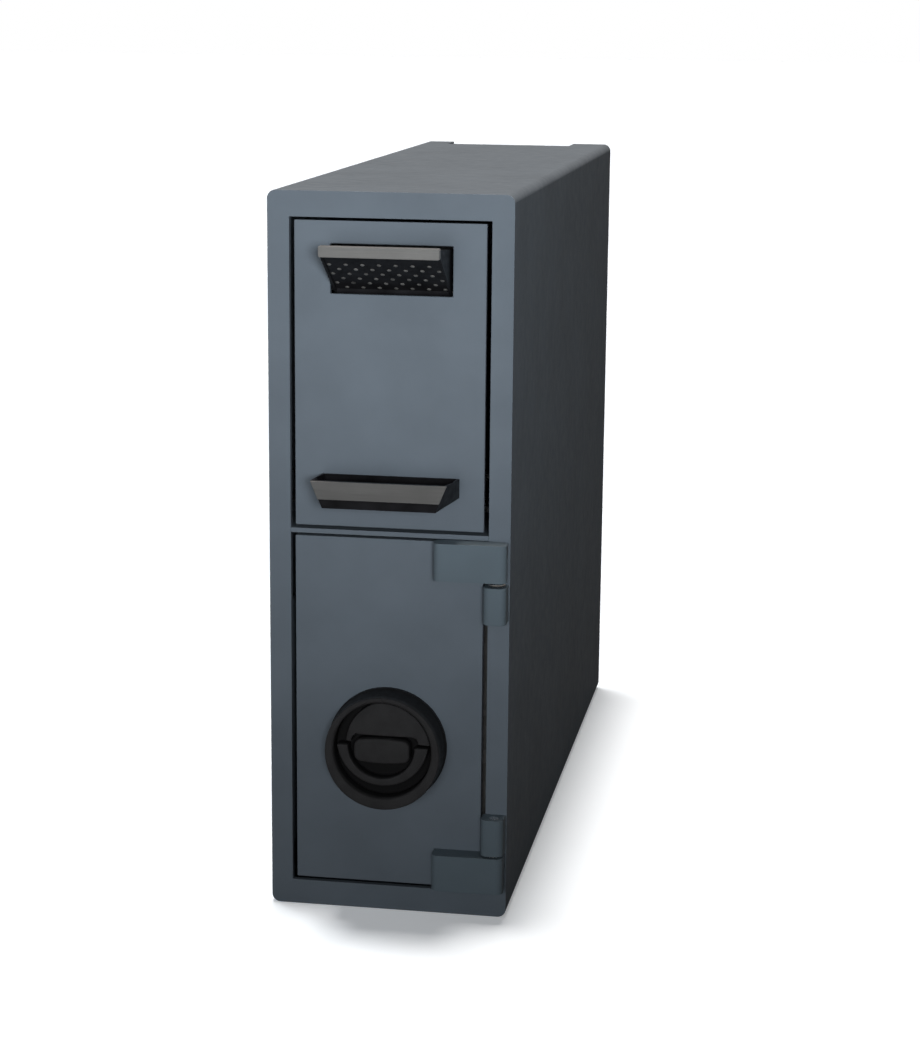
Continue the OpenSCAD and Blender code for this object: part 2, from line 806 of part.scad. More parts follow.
// The dial: a disc, a dome over its upper part and a curved finger rib round the grip
module dial() {
    r = knob_d / 2;
    tall = disc_t + 2 * dome_crown;
    crown = dome_crown - dome_edge;
    slot_z = grip_w / 2 + 2.5;
    color([0.13, 0.13, 0.14]) translate([dial_x, knob_y, dial_z]) rotate([90, 0, 0]) difference() {
        union() {
            cylinder(h = disc_t, r = r, $fn = fine);
            intersection() {
                cylinder(h = tall, r = r - 0.5, $fn = fine);
                translate(dome_shift) rotate_extrude($fn = fine) polygon([
                    [0, 0], [r - 3, 0],
                    for (a = [0 : 10 : 90]) [(r - 3) * cos(a), disc_t + dome_edge + crown * sin(a)]
                ]);
                difference() {
                    translate([-r, 6.5, 0]) cube([2 * r, r, tall]);
                    translate([0, 0, disc_t]) linear_extrude(tall)
                        round_rect(-grip_l / 2 - 3, grip_l / 2 + 7, -slot_z, slot_z, 6);
                }
            }
            intersection() {
                translate([-r, -r, 0]) cube([2 * r, r + rib_end, disc_t + rib_h]);
                difference() {
                    translate([0, rib_up, 1]) cylinder(h = tall, r = rib_r, $fn = fine);
                    translate([-rib_shift, rib_in_up, 0]) cylinder(h = tall + 2, r = rib_in_r, $fn = fine);
                }
            }
        }
        translate([0, 0, -1]) cylinder(h = disc_t + 2, r = spindle_r, $fn = fine);
    }
}

// The grip across the middle of the dial, a little wider at its waist
module dial_grip() {
    r = grip_w / 2;
    bulge = grip_l * grip_l / 16;
    color([0.09, 0.09, 0.10]) difference() {
        union() {
            rod_along_y(dial_x, dial_z, disc_y - 2, disc_y, r - 1);
            along_y(disc_y - 15, disc_y - 2) intersection() {
                round_rect(dial_x - grip_l / 2, dial_x + grip_l / 2,
                    dial_z - r, dial_z + r, grip_corner);
                translate([dial_x, dial_z + r - bulge]) circle(bulge, $fn = 4 * fine);
                translate([dial_x, dial_z - r + bulge]) circle(bulge, $fn = 4 * fine);
            }
        }
        rod_along_y(dial_x, dial_z, disc_y - hub_depth, disc_y + 1, spindle_r);
    }
}

module dial_spindle() {
    color([0.72, 0.66, 0.45])
        rod_along_y(dial_x, dial_z, disc_y - hub_depth, case_y - 2, spindle_r);
}

// A notched disc on the spindle
module notched_disc(y0, r, t) {
    difference() {
        rod_along_y(dial_x, dial_z, y0, y0 + t, r);
        rod_along_y(dial_x, dial_z, y0 - 1, y0 + t + 1, spindle_r);
        slab(dial_x - 2, dial_x + 2, y0 - 1, y0 + t + 1, dial_z - r - 1, dial_z - r + 4);
    }
}

module drive_cam() {
    color([0.72, 0.66, 0.45]) notched_disc(door_y + case_t + 2, wheel_d / 2 - 4, 2.5);
}

module combination_wheels() {
    color([0.75, 0.70, 0.50]) for (i = [0 : 2]) {
        notched_disc(door_y + case_t + 6.5 + i * wheel_pitch, wheel_d / 2, wheel_t);
    }
}

// The plate that joins both locking bolts to the lock bolt
module bolt_carriage() {
    color([0.62, 0.64, 0.65]) difference() {
        slab(bar_x0, bar_x1, carriage_y, carriage_y + carriage_t,
            bolt_z_low - bolt_r - 1, bolt_z_high + bolt_r + 1);
        for (z = [bolt_z_low, bolt_z_high]) {
            rod_along_y(bar_x, z, carriage_y - 1, carriage_y + carriage_t + 1, screw_r);
        }
    }
}

module locking_bolts() {
    color([0.80, 0.80, 0.79]) for (z = [bolt_z_low, bolt_z_high]) {
        difference() {
            union() {
                rod_along_x(bolt_y, z, bolt_tip + 1.5, bolt_tip + bolt_l, bolt_r);
                translate([bolt_tip, bolt_y, z]) rotate([0, 90, 0])
                    cylinder(h = 1.5, r1 = bolt_r - 1.5, r2 = bolt_r, $fn = fine);
            }
            rod_along_y(bar_x, z, carriage_y - bolt_screw_l - 1, carriage_y + 1, screw_r);
        }
    }
}

module bolt_screws() {
    y = carriage_y + carriage_t;
    color([0.70, 0.70, 0.70]) for (z = [bolt_z_low, bolt_z_high]) {
        rod_along_y(bar_x, z, carriage_y - bolt_screw_l, y, screw_r);
        rod_along_y(bar_x, z, y, y + bolt_head_h, head_r - 0.5);
    }
}

module lock_bolt() {
    color([0.75, 0.68, 0.45])
        slab(latch_x0, latch_x0 + latch_l, latch_y0, latch_y1, latch_z, latch_z + latch_h);
}

module lock_link() {
    color([0.62, 0.64, 0.65])
        slab(latch_x0, latch_x0 + link_w, latch_y1, carriage_y, latch_z, latch_z + latch_h);
}

// The lever on the lock bolt, with its fence over the wheels
module fence_lever() {
    x1 = latch_x0 + latch_l;
    y0 = latch_y1 + 0.3;
    color([0.72, 0.66, 0.45]) {
        slab(x1 - 16, x1 + 8, latch_y1, latch_y1 + 2, latch_z + 0.5, latch_z + latch_h - 1);
        slab(x1 + 4, x1 + 8, latch_y0, latch_y1, latch_z - 1, latch_z + 3);
    }
}

module drawer_front() {
    color([0.40, 0.45, 0.48]) difference() {
        slab(-dfront_x, dfront_x, front_y, dfront_y, dfront_z0, dfront_z1);
        slab(fit_x - mouth_w / 2, fit_x + mouth_w / 2, front_y - 1, dfront_y + 1, mouth_z0, mouth_z1);
    }
}

// The drawer box: low walls for the tray, high walls beside the chute
module drawer_box() {
    chute_end = chute_y + bend_up;
    color([0.62, 0.64, 0.65]) difference() {
        union() {
            both_sides() along_x(box_x - box_t, box_x) polygon([
                [dfront_y, box_z0], [box_y1, box_z0], [box_y1, box_z1],
                [chute_end + chute_rise * 0.8, box_z1], [chute_end, box_z1 + chute_rise],
                [chute_end, high_z], [dfront_y, high_z]
            ]);
            slab(-box_x + box_t, box_x - box_t, dfront_y, box_y1, box_z0, box_z0 + box_t);
            slab(-box_x + box_t, box_x - box_t, box_y1 - box_t, box_y1, box_z0 + box_t, box_z1);
        }
        slab(-slot_w / 2 + 2, slot_w / 2 - 2, slot_y0, slot_y1 - slot_edge, box_z0 - 1, box_z0 + box_t + 1);
    }
}

// The sheet that parts the chute from the tray
module chute_partition() {
    x = box_x - box_t;
    y = chute_y + box_t / 2;
    color([0.55, 0.57, 0.58]) difference() {
        bent_sheet(-x, x, [
            [y, high_z], [y, box_z1 + bend_up], [slot_y1 - slot_edge + box_t, box_z0]
        ], box_t);
        slab(-body_w, body_w, front_y, back_y, box_z0 - slot_len, box_z0 + box_t);
    }
}

// The sloping floor of the chute, from the drawer front back to the slot
module chute_ramp() {
    x = box_x - box_t;
    color([0.55, 0.57, 0.58]) difference() {
        bent_sheet(-x, x, [[dfront_y - 2, ramp_z], [slot_y0 - box_t, box_z0]], box_t);
        slab(-body_w, body_w, front_y, back_y, box_z0 - slot_len, box_z0 + box_t);
        slab(-body_w, body_w, front_y - slot_len, dfront_y, box_z0, ramp_z + slot_len);
    }
}

// Two ears behind the drawer front, which hold the pivot rod
module hopper_ears() {
    color([0.55, 0.57, 0.58]) for (x = [fit_x - ear_x - ear_t, fit_x + ear_x]) {
        difference() {
            along_x(x, x + ear_t) {
                translate([dfront_y, rod_z - ear_r]) square([rod_y - dfront_y, 2 * ear_r]);
                translate([rod_y, rod_z]) circle(ear_r, $fn = fine);
            }
            slab(x - 1, x + ear_t + 1, front_y - ear_r, dfront_y, rod_z - 2 * ear_r, rod_z + 2 * ear_r);
            rod_along_x(rod_y, rod_z, x - 1, x + ear_t + 1, rod_r);
        }
    }
}

module pivot_rod() {
    color([0.75, 0.75, 0.74])
        rod_along_x(rod_y, rod_z, fit_x - ear_x - ear_t - 1, fit_x + ear_x + ear_t + 1, rod_r);
}

// The coils between the cheeks and the ears
module return_springs() {
    color([0.30, 0.30, 0.31]) for (x = [fit_x - ear_x, fit_x + ear_x - spring_l]) {
        difference() {
            rod_along_x(rod_y, rod_z, x, x + spring_l, rod_r + 1.2);
            rod_along_x(rod_y, rod_z, x - 1, x + spring_l + 1, rod_r);
        }
    }
}

// The pull is a deep trough with slanting ends, open at the top
module pull_outline(inset) {
    w0 = pull_w_low / 2 - inset;
    w1 = pull_w / 2 - inset;
    slope = (w1 - w0) / pull_h;
    rise = inset > 0 ? 10 : 0;
    polygon([
        [fit_x - w0 - slope * inset, pull_z + inset], [fit_x + w0 + slope * inset, pull_z + inset],
        [fit_x + w1 + slope * rise, pull_z + pull_h + rise],
        [fit_x - w1 - slope * rise, pull_z + pull_h + rise]
    ]);
}

// The outline of the pull's back, which is wider, squarer and a little less high
module pull_back_outline(inset) {
    w = pull_w_back / 2 - inset;
    z = pull_z + pull_back_up;
    translate([fit_x - w, z + inset]) square([2 * w, pull_z + pull_h + (inset > 0 ? 10 : 0) - z - inset]);
}

module pull_trough() {
    y0 = pull_y + face_t;
    color([0.10, 0.10, 0.11]) intersection() {
        difference() {
            hull() {
                along_y(y0, y0 + 0.01) pull_outline(0);
                along_y(front_y - 0.01, front_y) pull_back_outline(0);
            }
            hull() {
                along_y(y0 + pull_t, y0 + pull_t + 0.01) pull_outline(pull_t);
                along_y(front_y - pull_t, front_y - pull_t + 0.01) pull_back_outline(pull_t);
            }
        }
        along_x(fit_x - pull_w, fit_x + pull_w) polygon([
            [y0, pull_z - 1], [front_y, pull_z - 1], [front_y, pull_z + pull_h - pull_rim_drop],
            [y0 + pull_t, pull_z + pull_h], [y0, pull_z + pull_h]
        ]);
    }
}

module pull_face() {
    color([0.56, 0.56, 0.55]) intersection() {
        along_y(pull_y, pull_y + face_t) pull_outline(0);
        slab(-body_w, body_w, pull_y - 1, front_y, pull_z + pull_h - face_h, pull_z + pull_h + 1);
    }
}

// Places a shape in the hopper's own frame: -Y runs up the plate from the pivot rod
module on_hopper() {
    translate([fit_x, rod_y, rod_z]) rotate([-plate_slope, 0, 0]) children();
}

// The sloping plate, with its lower edge rolled round the pivot rod
module hopper_plate() {
    x = cheek_x - hopper_t;
    color([0.09, 0.09, 0.10]) difference() {
        on_hopper() {
            difference() {
                rod_along_x(0, 0, -x, x, rod_r + hopper_t);
                rod_along_x(0, 0, -x - 1, x + 1, rod_r + rod_play);
            }
            slab(-x, x, -plate_l - 3, -rod_r - 1, -hopper_t / 2, hopper_t / 2);
            for (row = [0 : pip_rows - 1]) {
                shift = row % 2 == 0 ? 0 : pip_pitch / 2;
                for (col = [0 : pip_cols - 1]) {
                    translate([(col - (pip_cols - 1) / 2) * pip_pitch + shift - pip_pitch / 4,
                        -plate_l + (row + 1) * pip_row, -hopper_t / 2 - 0.6])
                        cylinder(h = 1.2, r = pip_d / 2, $fn = 24);
                }
            }
        }
        slab(-body_w, body_w, lip_y - lip_reach, lip_y + lip_t, mouth_z0, mouth_z1 + mouth_h);
    }
}

// The two side plates of the hopper
module hopper_cheeks() {
    arc_end = 98;
    front = lip_y + lip_t - rod_y;
    color([0.09, 0.09, 0.10]) for (x = [-cheek_x, cheek_x - hopper_t]) {
        difference() {
            along_x(fit_x + x, fit_x + x + hopper_t) translate([rod_y, rod_z]) polygon(concat(
                [[front, -front * tan(plate_slope) - hopper_t], [-rod_r - 2, -1],
                    [0, -rod_r - 2], [rod_r + 2, -2]],
                [for (a = [5 : 3 : arc_end]) baffle_r * [cos(a), sin(a)]],
                [[front, lip_z + lip_h - 1.5 - rod_z]]
            ));
            rod_along_x(rod_y, rod_z, fit_x + x - 1, fit_x + x + hopper_t + 1, rod_r + rod_play);
        }
    }
}

// The curved sheet behind the pocket, which keeps hands out when the hopper is open
module rear_baffle() {
    x = cheek_x - hopper_t;
    color([0.09, 0.09, 0.10])
    along_x(fit_x - x, fit_x + x) translate([rod_y, rod_z]) polygon(concat(
        [for (a = [5 : 3 : 56]) baffle_r * [cos(a), sin(a)]],
        [for (a = [56 : -3 : 5]) (baffle_r - hopper_t) * [cos(a), sin(a)]]
    ));
}

module lip_bar() {
    color([0.62, 0.62, 0.61]) along_y(lip_y, lip_y + lip_t)
        round_rect(fit_x - lip_w / 2, fit_x + lip_w / 2, lip_z, lip_z + lip_h, lip_t / 4);
}

body_shell();
front_frame();
back_plate();
divider_shelf();
slot_guard_front();
slot_guard_rear();
bolt_keeper();
top_knuckle();
bottom_knuckle();
top_hinge_pin();
bottom_hinge_pin();
hinge_bearings();
slide_spacers();
outer_slides();
drawer_stop();
stop_buffers();
door_plate();
top_hinge_leaf();
bottom_hinge_leaf();
dog_bar();
door_pan();
pan_posts();
pan_screws();
lock_case();
lock_cover();
lock_screws();
bolt_guides();
dial_ring();
dial();
dial_spindle();
drive_cam();
combination_wheels();
dial_grip();
bolt_carriage();
locking_bolts();
bolt_screws();
lock_bolt();
lock_link();
fence_lever();
drawer_front();
drawer_box();
chute_partition();
chute_ramp();
hopper_ears();
pivot_rod();
return_springs();
pull_trough();
pull_face();
inner_slides();
middle_slides();
hopper_plate();
hopper_cheeks();
rear_baffle();
lip_bar();
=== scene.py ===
"""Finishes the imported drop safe: paint, metals, rounded edges, dial, hopper and small fasteners."""

import json
import math

import bmesh
import bpy
from mathutils import Matrix, Quaternion, Vector


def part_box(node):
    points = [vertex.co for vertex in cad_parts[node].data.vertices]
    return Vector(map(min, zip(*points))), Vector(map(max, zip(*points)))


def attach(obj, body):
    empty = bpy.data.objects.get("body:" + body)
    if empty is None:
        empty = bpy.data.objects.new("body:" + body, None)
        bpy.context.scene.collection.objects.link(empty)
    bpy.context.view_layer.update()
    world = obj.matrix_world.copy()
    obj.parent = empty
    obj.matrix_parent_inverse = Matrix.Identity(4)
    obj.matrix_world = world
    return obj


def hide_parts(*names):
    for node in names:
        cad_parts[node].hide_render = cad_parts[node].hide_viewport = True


bl_info = {
    "name": "Drop Safe",
    "version": (1, 0, 0),
    "blender": (4, 5, 0),
    "location": "View3D > Sidebar > Drop Safe",
    "description": "Finishes a drop safe with a deposit drawer round its packed frame",
    "category": "Object",
}

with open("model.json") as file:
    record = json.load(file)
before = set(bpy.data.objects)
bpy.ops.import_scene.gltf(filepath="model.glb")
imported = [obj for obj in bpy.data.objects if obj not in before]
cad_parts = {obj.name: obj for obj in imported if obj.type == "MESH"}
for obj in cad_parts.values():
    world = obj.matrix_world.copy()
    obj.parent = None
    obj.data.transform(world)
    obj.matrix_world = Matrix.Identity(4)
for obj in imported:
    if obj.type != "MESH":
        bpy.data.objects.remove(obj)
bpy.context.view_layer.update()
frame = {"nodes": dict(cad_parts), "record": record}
record = frame["record"]
body_of = {node: body for body, nodes in record["behaviour"]["bodies"].items() for node in nodes}
slot_of = {part["node"]: part["material_slot"] for part in record["subparts"]}
colour_of = {item["slot"]: tuple(item["base_color"]) for item in record["materials"]}
pivot_of = {
    joint["name"]: Vector(joint["pos_m"])
    for joint in record["behaviour"]["joints"] if "pos_m" in joint
}

MM = 0.001


def length(name, text, millimetres):
    """A property that holds a length."""
    return bpy.props.FloatProperty(
        name=name, description=text, default=millimetres * MM, min=0, unit="LENGTH", precision=5)


def number(name, text, value):
    """A property that holds a plain number."""
    return bpy.props.FloatProperty(name=name, description=text, default=value, min=0)


def tint(name, text, colour):
    """A property that holds a colour."""
    return bpy.props.FloatVectorProperty(
        name=name, description=text, default=colour, size=3, subtype="COLOR", min=0, max=1)


class SafeEdges(bpy.types.PropertyGroup):
    cabinet: length("Cabinet", "Rounding of the cabinet's edges", 1.1)
    plate: length("Plates", "Rounding of the door and drawer plates", 0.9)
    bend: length("Bends", "Rounding of the folded pan and channels", 1.4)
    hinge: length("Hinges", "Rounding of the hinge blocks", 2.2)
    bar: length("Bars", "Rounding of bars, blocks and bolts", 0.7)
    sheet: length("Sheets", "Rounding of the thin sheets", 0.35)


class SafePaint(bpy.types.PropertyGroup):
    slate: tint("Slate", "Powder coat of the cabinet and doors", colour_of["slate_paint"])
    hinge: tint("Hinges", "Paint of the hinges", colour_of["hinge_paint"])
    fitting: tint("Fittings", "Black coat of hopper and pull", colour_of["fitting_black"])
    dial: tint("Dial", "Moulding of the dial", colour_of["dial_black"])
    lip: tint("Lips", "Brushed steel of the lip bar and the pull", colour_of["brushed_lip"])
    peel_width: length("Peel width", "Width of one dimple of the powder coat", 1.3)
    peel_depth: length("Peel depth", "Depth of the dimples of the powder coat", 0.02)


class SafeDial(bpy.types.PropertyGroup):
    steps: bpy.props.IntProperty(
        name="Steps", description="Steps round the dial", default=128, min=32)
    disc: number("Disc", "Thickness of the disc in millimetres", 7.0)
    dome_edge: number("Dome edge", "Height of the dome's edge over the disc in millimetres", 9.0)
    dome_crown: number(
        "Dome crown", "Height of the dome's crown over the disc in millimetres", 13.5)
    rib_height: number("Rib", "Height of the finger rib over the disc in millimetres", 11.5)
    grip_rise: number("Grip", "Height of the grip over the disc in millimetres", 15.0)
    soft: number("Softness", "Radius of the dial's moulded edges in millimetres", 1.2)


class SafeHopper(bpy.types.PropertyGroup):
    slope: bpy.props.FloatProperty(
        name="Slope", description="Slope of the hopper plate", default=math.radians(31),
        unit="ROTATION")
    sheet: length("Sheet", "Thickness of the hopper plate", 2.0)
    pip_columns: bpy.props.IntProperty(
        name="Columns", description="Pips across the plate", default=7, min=2)
    pip_rows: bpy.props.IntProperty(
        name="Rows", description="Rows of pips along the plate", default=6, min=2)
    pip_pitch: length("Pitch", "Spacing of the pips across the plate", 13.3)
    row_pitch: length("Row pitch", "Spacing of the rows of pips", 8.49)
    first_row: length("First row", "Distance from the lip bar to the first row of pips", 15.9)
    pip_radius: length("Pip radius", "Radius of a pip", 1.8)
    pip_height: length("Pip height", "Height of a pip", 0.75)


class SafeStage(bpy.types.PropertyGroup):
    camera: bpy.props.FloatVectorProperty(
        name="Camera", description="Place of the camera", default=(0.3704, -2.2141, 0.7482),
        subtype="TRANSLATION", unit="LENGTH")
    aim: bpy.props.FloatVectorProperty(
        name="Aim", description="Direction that the camera looks in",
        default=(-0.1613, 0.9638, -0.2121), subtype="DIRECTION")
    roll: bpy.props.FloatProperty(
        name="Roll", description="Turn of the camera about its view", default=math.radians(0.53),
        unit="ROTATION")
    lens: number("Lens", "Focal length of the camera in millimetres", 82.83)
    sun: number("Overhead", "Strength of the light from above", 3.0)
    rear: number("Rear", "Strength of the light from behind on the left", 0.9)
    key: number("Key", "Power of the light on the drawer in watts", 147.0)
    front: number("Front", "Power of the light on the whole front in watts", 7.5)
    fill: number("Fill", "Strength of the light from all round", 0.07)


GROUPS = {
    "edges": SafeEdges, "paint": SafePaint, "dial": SafeDial, "hopper": SafeHopper,
    "stage": SafeStage,
}


def settings(group):
    """The scene's values of one group."""
    return getattr(bpy.context.scene, "safe_" + group)


# Nodes for materials and for geometry

def add(tree, kind, inputs=None, **options):
    """Adds a node, sets its options, and links or sets its inputs."""
    node = tree.nodes.new(kind)
    for name, value in options.items():
        setattr(node, name, value)
    for name, value in (inputs or {}).items():
        if isinstance(value, bpy.types.NodeSocket):
            tree.links.new(value, node.inputs[name])
        else:
            node.inputs[name].default_value = value
    return node


def pattern(tree, patch, detail=3.0, stretch=(1, 1, 1)):
    """Noise on Object coordinates from 0 to 1, with patches of a width in metres."""
    place = add(tree, "ShaderNodeTexCoord")
    spot = add(tree, "ShaderNodeMapping", {
        "Vector": place.outputs["Object"], "Scale": stretch})
    noise = add(tree, "ShaderNodeTexNoise", {
        "Vector": spot.outputs["Vector"], "Scale": 1 / patch, "Detail": detail})
    return spread(tree, noise.outputs["Fac"], 0, 1)


def spread(tree, value, low, high, start=0.3, end=0.7):
    """Maps a value from start to end onto low to high."""
    node = add(tree, "ShaderNodeMapRange", {
        "Value": value, "From Min": start, "From Max": end, "To Min": low, "To Max": high})
    return node.outputs["Result"]


def blend(tree, factor, low, high):
    """A colour between two colours."""
    node = add(tree, "ShaderNodeMix", {0: factor, 6: (*low, 1), 7: (*high, 1)}, data_type="RGBA")
    return node.outputs[2]


def relief(tree, shader, height, depth, under=None):
    """Gives a shader bumps of a depth in metres, over other bumps if there are any."""
    inputs = {"Height": height, "Distance": depth, "Strength": 1.0}
    if under is not None:
        inputs["Normal"] = under
    node = add(tree, "ShaderNodeBump", inputs)
    tree.links.new(node.outputs["Normal"], shader.inputs["Normal"])
    return node.outputs["Normal"]


def shade(colour, share):
    """A colour made lighter or darker."""
    return tuple(min(channel * share, 1.0) for channel in colour)


def blank(name):
    """A new material with its tree and its shader."""
    material = bpy.data.materials.new(name)
    material.use_nodes = True
    tree = material.node_tree
    return material, tree, tree.nodes["Principled BSDF"]


def colour_by(tree, shader, colour, factor, low, high):
    """Varies a shader's colour between two shares of one colour."""
    tone = blend(tree, factor, shade(colour, low), shade(colour, high))
    tree.links.new(tone, shader.inputs["Base Color"])


def rough_by(tree, shader, factor, low, high):
    """Varies a shader's roughness."""
    tree.links.new(spread(tree, factor, low, high, 0, 1), shader.inputs["Roughness"])


def skin(name, colour, shares, cloud, rough, sheen, grain, depth, metallic=0.0, specular=0.5):
    """A finish with a cloudy colour, an uneven sheen and a fine grain.

    The colour and the roughness run between two values each. Cloud and grain have a width in
    metres and a detail, the sheen has a width and the grain a depth.
    """
    material, tree, shader = blank(name)
    colour_by(tree, shader, colour, pattern(tree, *cloud), *shares)
    rough_by(tree, shader, pattern(tree, sheen), *rough)
    shader.inputs["Metallic"].default_value = metallic
    shader.inputs["Specular IOR Level"].default_value = specular
    relief(tree, shader, pattern(tree, *grain), depth)
    return material


def powder_coat(name, colour):
    """Satin powder coat: fine orange peel over long faint unevenness."""
    paint = settings("paint")
    cloud, sheen = 0.06, 0.012
    wave_width, wave_depth = 0.05, 0.00012
    material, tree, shader = blank(name)
    colour_by(tree, shader, colour, pattern(tree, cloud, 5.0), 0.93, 1.07)
    rough_by(tree, shader, pattern(tree, sheen), 0.42, 0.54)
    shader.inputs["Specular IOR Level"].default_value = 0.4
    under = relief(tree, shader, pattern(tree, wave_width, 1.0), wave_depth)
    relief(tree, shader, pattern(tree, paint.peel_width, 2.0), paint.peel_depth, under)
    return material


def slate_paint():
    return powder_coat("slate_powder_coat", settings("paint").slate)


def hinge_paint():
    return powder_coat("hinge_paint", settings("paint").hinge)


def fitting_black():
    """Satin black coat on thin sheet, with a little dust in its grain."""
    return skin(
        "satin_black_coat", settings("paint").fitting, shares=(0.5, 1.2), cloud=(0.02, 6.0),
        rough=(0.38, 0.52), sheen=0.006, grain=(0.0009, 3.0), depth=0.00001, specular=0.12)


def worn_coat():
    """Black coat on the pips, paler than the plate: partly rubbed thin so that grey steel shows,
    partly a painted highlight that stands for the glints on the pips.
    """
    return skin(
        "pip_wear_and_painted_highlight", (0.2, 0.2, 0.196), shares=(0.35, 1.5), cloud=(0.006, 5.0),
        rough=(0.3, 0.46), sheen=0.002, grain=(0.0008, 3.0), depth=0.00001, metallic=0.4)


def dial_black():
    """Matt moulded plastic, paler where it stands far off the door: partly finger wear, partly
    painted light on the front faces, with painted shade darkening the walls nearer the door.
    """
    lighter_from, lighter_fully = 0.0195, 0.0225
    material, tree, shader = blank("moulded_black")
    place = add(tree, "ShaderNodeTexCoord")
    spot = add(tree, "ShaderNodeSeparateXYZ", {0: place.outputs["Object"]})
    door = pivot_of["dial_turn"].y
    front_wear_and_light = spread(tree, spot.outputs["Y"], 0, 1, door - lighter_from, door - lighter_fully)
    patchy = spread(tree, pattern(tree, 0.01, 5.0), 0.7, 1, 0, 1)
    wear_and_painted_light = maths(tree, "MULTIPLY", front_wear_and_light, patchy)
    # Front faces get up to 2.1 times the dial's colour, partly wear and partly painted light; walls
    # near the door get 0.6 times it, painted shade.
    colour_by(tree, shader, settings("paint").dial, wear_and_painted_light, 0.6, 2.1)
    rough_by(tree, shader, pattern(tree, 0.004), 0.46, 0.6)
    shader.inputs["Specular IOR Level"].default_value = 0.2
    relief(tree, shader, pattern(tree, 0.0006, 4.0), 0.000015)
    return material


def plated_sheet():
    """Dull zinc plate with the cloudy spangle of plated sheet."""
    material, tree, shader = blank("zinc_plated_sheet")
    place = add(tree, "ShaderNodeTexCoord")
    spangles = add(tree, "ShaderNodeTexVoronoi", {
        "Vector": place.outputs["Object"], "Scale": 140.0})
    flake = add(tree, "ShaderNodeSeparateColor", {"Color": spangles.outputs["Color"]})
    colour_by(tree, shader, colour_of["plated_sheet"], flake.outputs["Red"], 0.86, 1.08)
    rough_by(tree, shader, flake.outputs["Green"], 0.4, 0.52)
    shader.inputs["Metallic"].default_value = 1.0
    relief(tree, shader, pattern(tree, 0.0015), 0.00001)
    return material


def lock_casting():
    """Die-cast zinc: matt, slightly pitted skin."""
    return skin(
        "die_casting", colour_of["lock_casting"], shares=(0.8, 1.1), cloud=(0.008, 6.0),
        rough=(0.5, 0.66), sheen=0.002, grain=(0.0012, 5.0), depth=0.00004, metallic=0.85)


def buffer_rubber():
    """Moulded rubber with a bloom on it."""
    return skin(
        "moulded_rubber", colour_of["buffer_rubber"], shares=(0.7, 1.6), cloud=(0.01, 5.0),
        rough=(0.7, 0.86), sheen=0.003, grain=(0.001, 3.0), depth=0.00002)


def metal(name, colour, rough, grain_width, stretch=(1, 1, 1), metallic=1.0):
    """Bare metal with a ground, brushed or rolled surface."""
    cloud_width, grain_depth = 0.03, 0.000004
    material, tree, shader = blank(name)
    grain = pattern(tree, grain_width, 4.0, stretch)
    cloud = pattern(tree, cloud_width, 4.0)
    both = add(tree, "ShaderNodeMath", {0: grain, 1: cloud, 2: 0.2}, operation="MULTIPLY_ADD")
    colour_by(tree, shader, colour, both.outputs[0], 0.84, 1.1)
    rough_by(tree, shader, grain, rough - 0.06, rough + 0.08)
    shader.inputs["Metallic"].default_value = metallic
    relief(tree, shader, grain, grain_depth)
    return material


def brushed(name, share):
    """Steel brushed across the safe under a clear satin lacquer, in a share of its colour."""
    colour = shade(settings("paint").lip, share)
    return metal(name, colour, 0.42, 0.0007, (0.02, 1, 1), metallic=0.4)


# The lip bar gets a lighter share and the pull's face a darker share of the same brushed steel:
# painted light on the lip, painted shade on the face.
def brushed_lip():
    return brushed("brushed_lip_steel", 1.12)


def brushed_face():
    return brushed("brushed_face_steel", 0.78)


def bare_metal(slot):
    """The bare metal of one of the record's slots."""
    name, rough, grain_width, stretch = METALS[slot]
    return metal(name, colour_of[slot], rough, grain_width, stretch)


# Bare metals by slot: name, roughness, width of the grain in metres, and its stretch
METALS = {
    "bright_steel": ("ground_steel", 0.24, 0.0008, (1, 1, 0.1)),
    "screw_steel": ("zinc_plated_screws", 0.34, 0.0006, (1, 1, 1)),
    "slide_steel": ("bright_plated_slides", 0.3, 0.001, (1, 0.03, 1)),
    "lock_brass": ("machined_brass", 0.3, 0.0006, (1, 0.2, 1)),
    "spring_steel": ("oiled_spring_steel", 0.36, 0.0008, (1, 1, 1)),
}
FINISHES = {
    make.__name__: make for make in (
        slate_paint, hinge_paint, fitting_black, worn_coat, dial_black, brushed_lip,
        brushed_face, plated_sheet, lock_casting, buffer_rubber)
}
made = {}


def material_for(slot):
    """The material of one of the record's slots, or of a finish of its own, made once."""
    if slot not in made:
        made[slot] = FINISHES[slot]() if slot in FINISHES else bare_metal(slot)
    return made[slot]


# Making pieces

def new_piece(form, name):
    """Turns a bmesh into an object."""
    mesh = bpy.data.meshes.new(name)
    form.to_mesh(mesh)
    form.free()
    piece = bpy.data.objects.new(name, mesh)
    bpy.context.scene.collection.objects.link(piece)
    return piece


def settle(piece):
    """Turns what a piece's modifiers make into its plain mesh."""
    graph = bpy.context.evaluated_depsgraph_get()
    mesh = bpy.data.meshes.new_from_object(piece.evaluated_get(graph))
    piece.modifiers.clear()
    piece.data = mesh
    mesh.name = piece.name


def joined(mesh):
    """A copy of a mesh with its triangles joined and its flat faces whole."""
    form = bmesh.new()
    form.from_mesh(mesh)
    bmesh.ops.remove_doubles(form, verts=form.verts, dist=1e-6)
    bmesh.ops.dissolve_limit(
        form, angle_limit=math.radians(0.3), verts=form.verts, edges=form.edges)
    return form


def cad_copy(node, name):
    """A piece with the shape of a CAD node."""
    return new_piece(joined(frame["nodes"][node].data), name)


def combine(piece, other, operation):
    """Joins another piece to a piece or cuts its shape out, and removes it."""
    change = piece.modifiers.new("combine", "BOOLEAN")
    change.operation = operation
    change.solver = "EXACT"
    change.object = other
    settle(piece)
    bpy.data.objects.remove(other)


def weld(piece, other):
    """Joins another piece to a piece, so that no seam shows between them."""
    combine(piece, other, "UNION")
    form = joined(piece.data)
    form.to_mesh(piece.data)
    form.free()


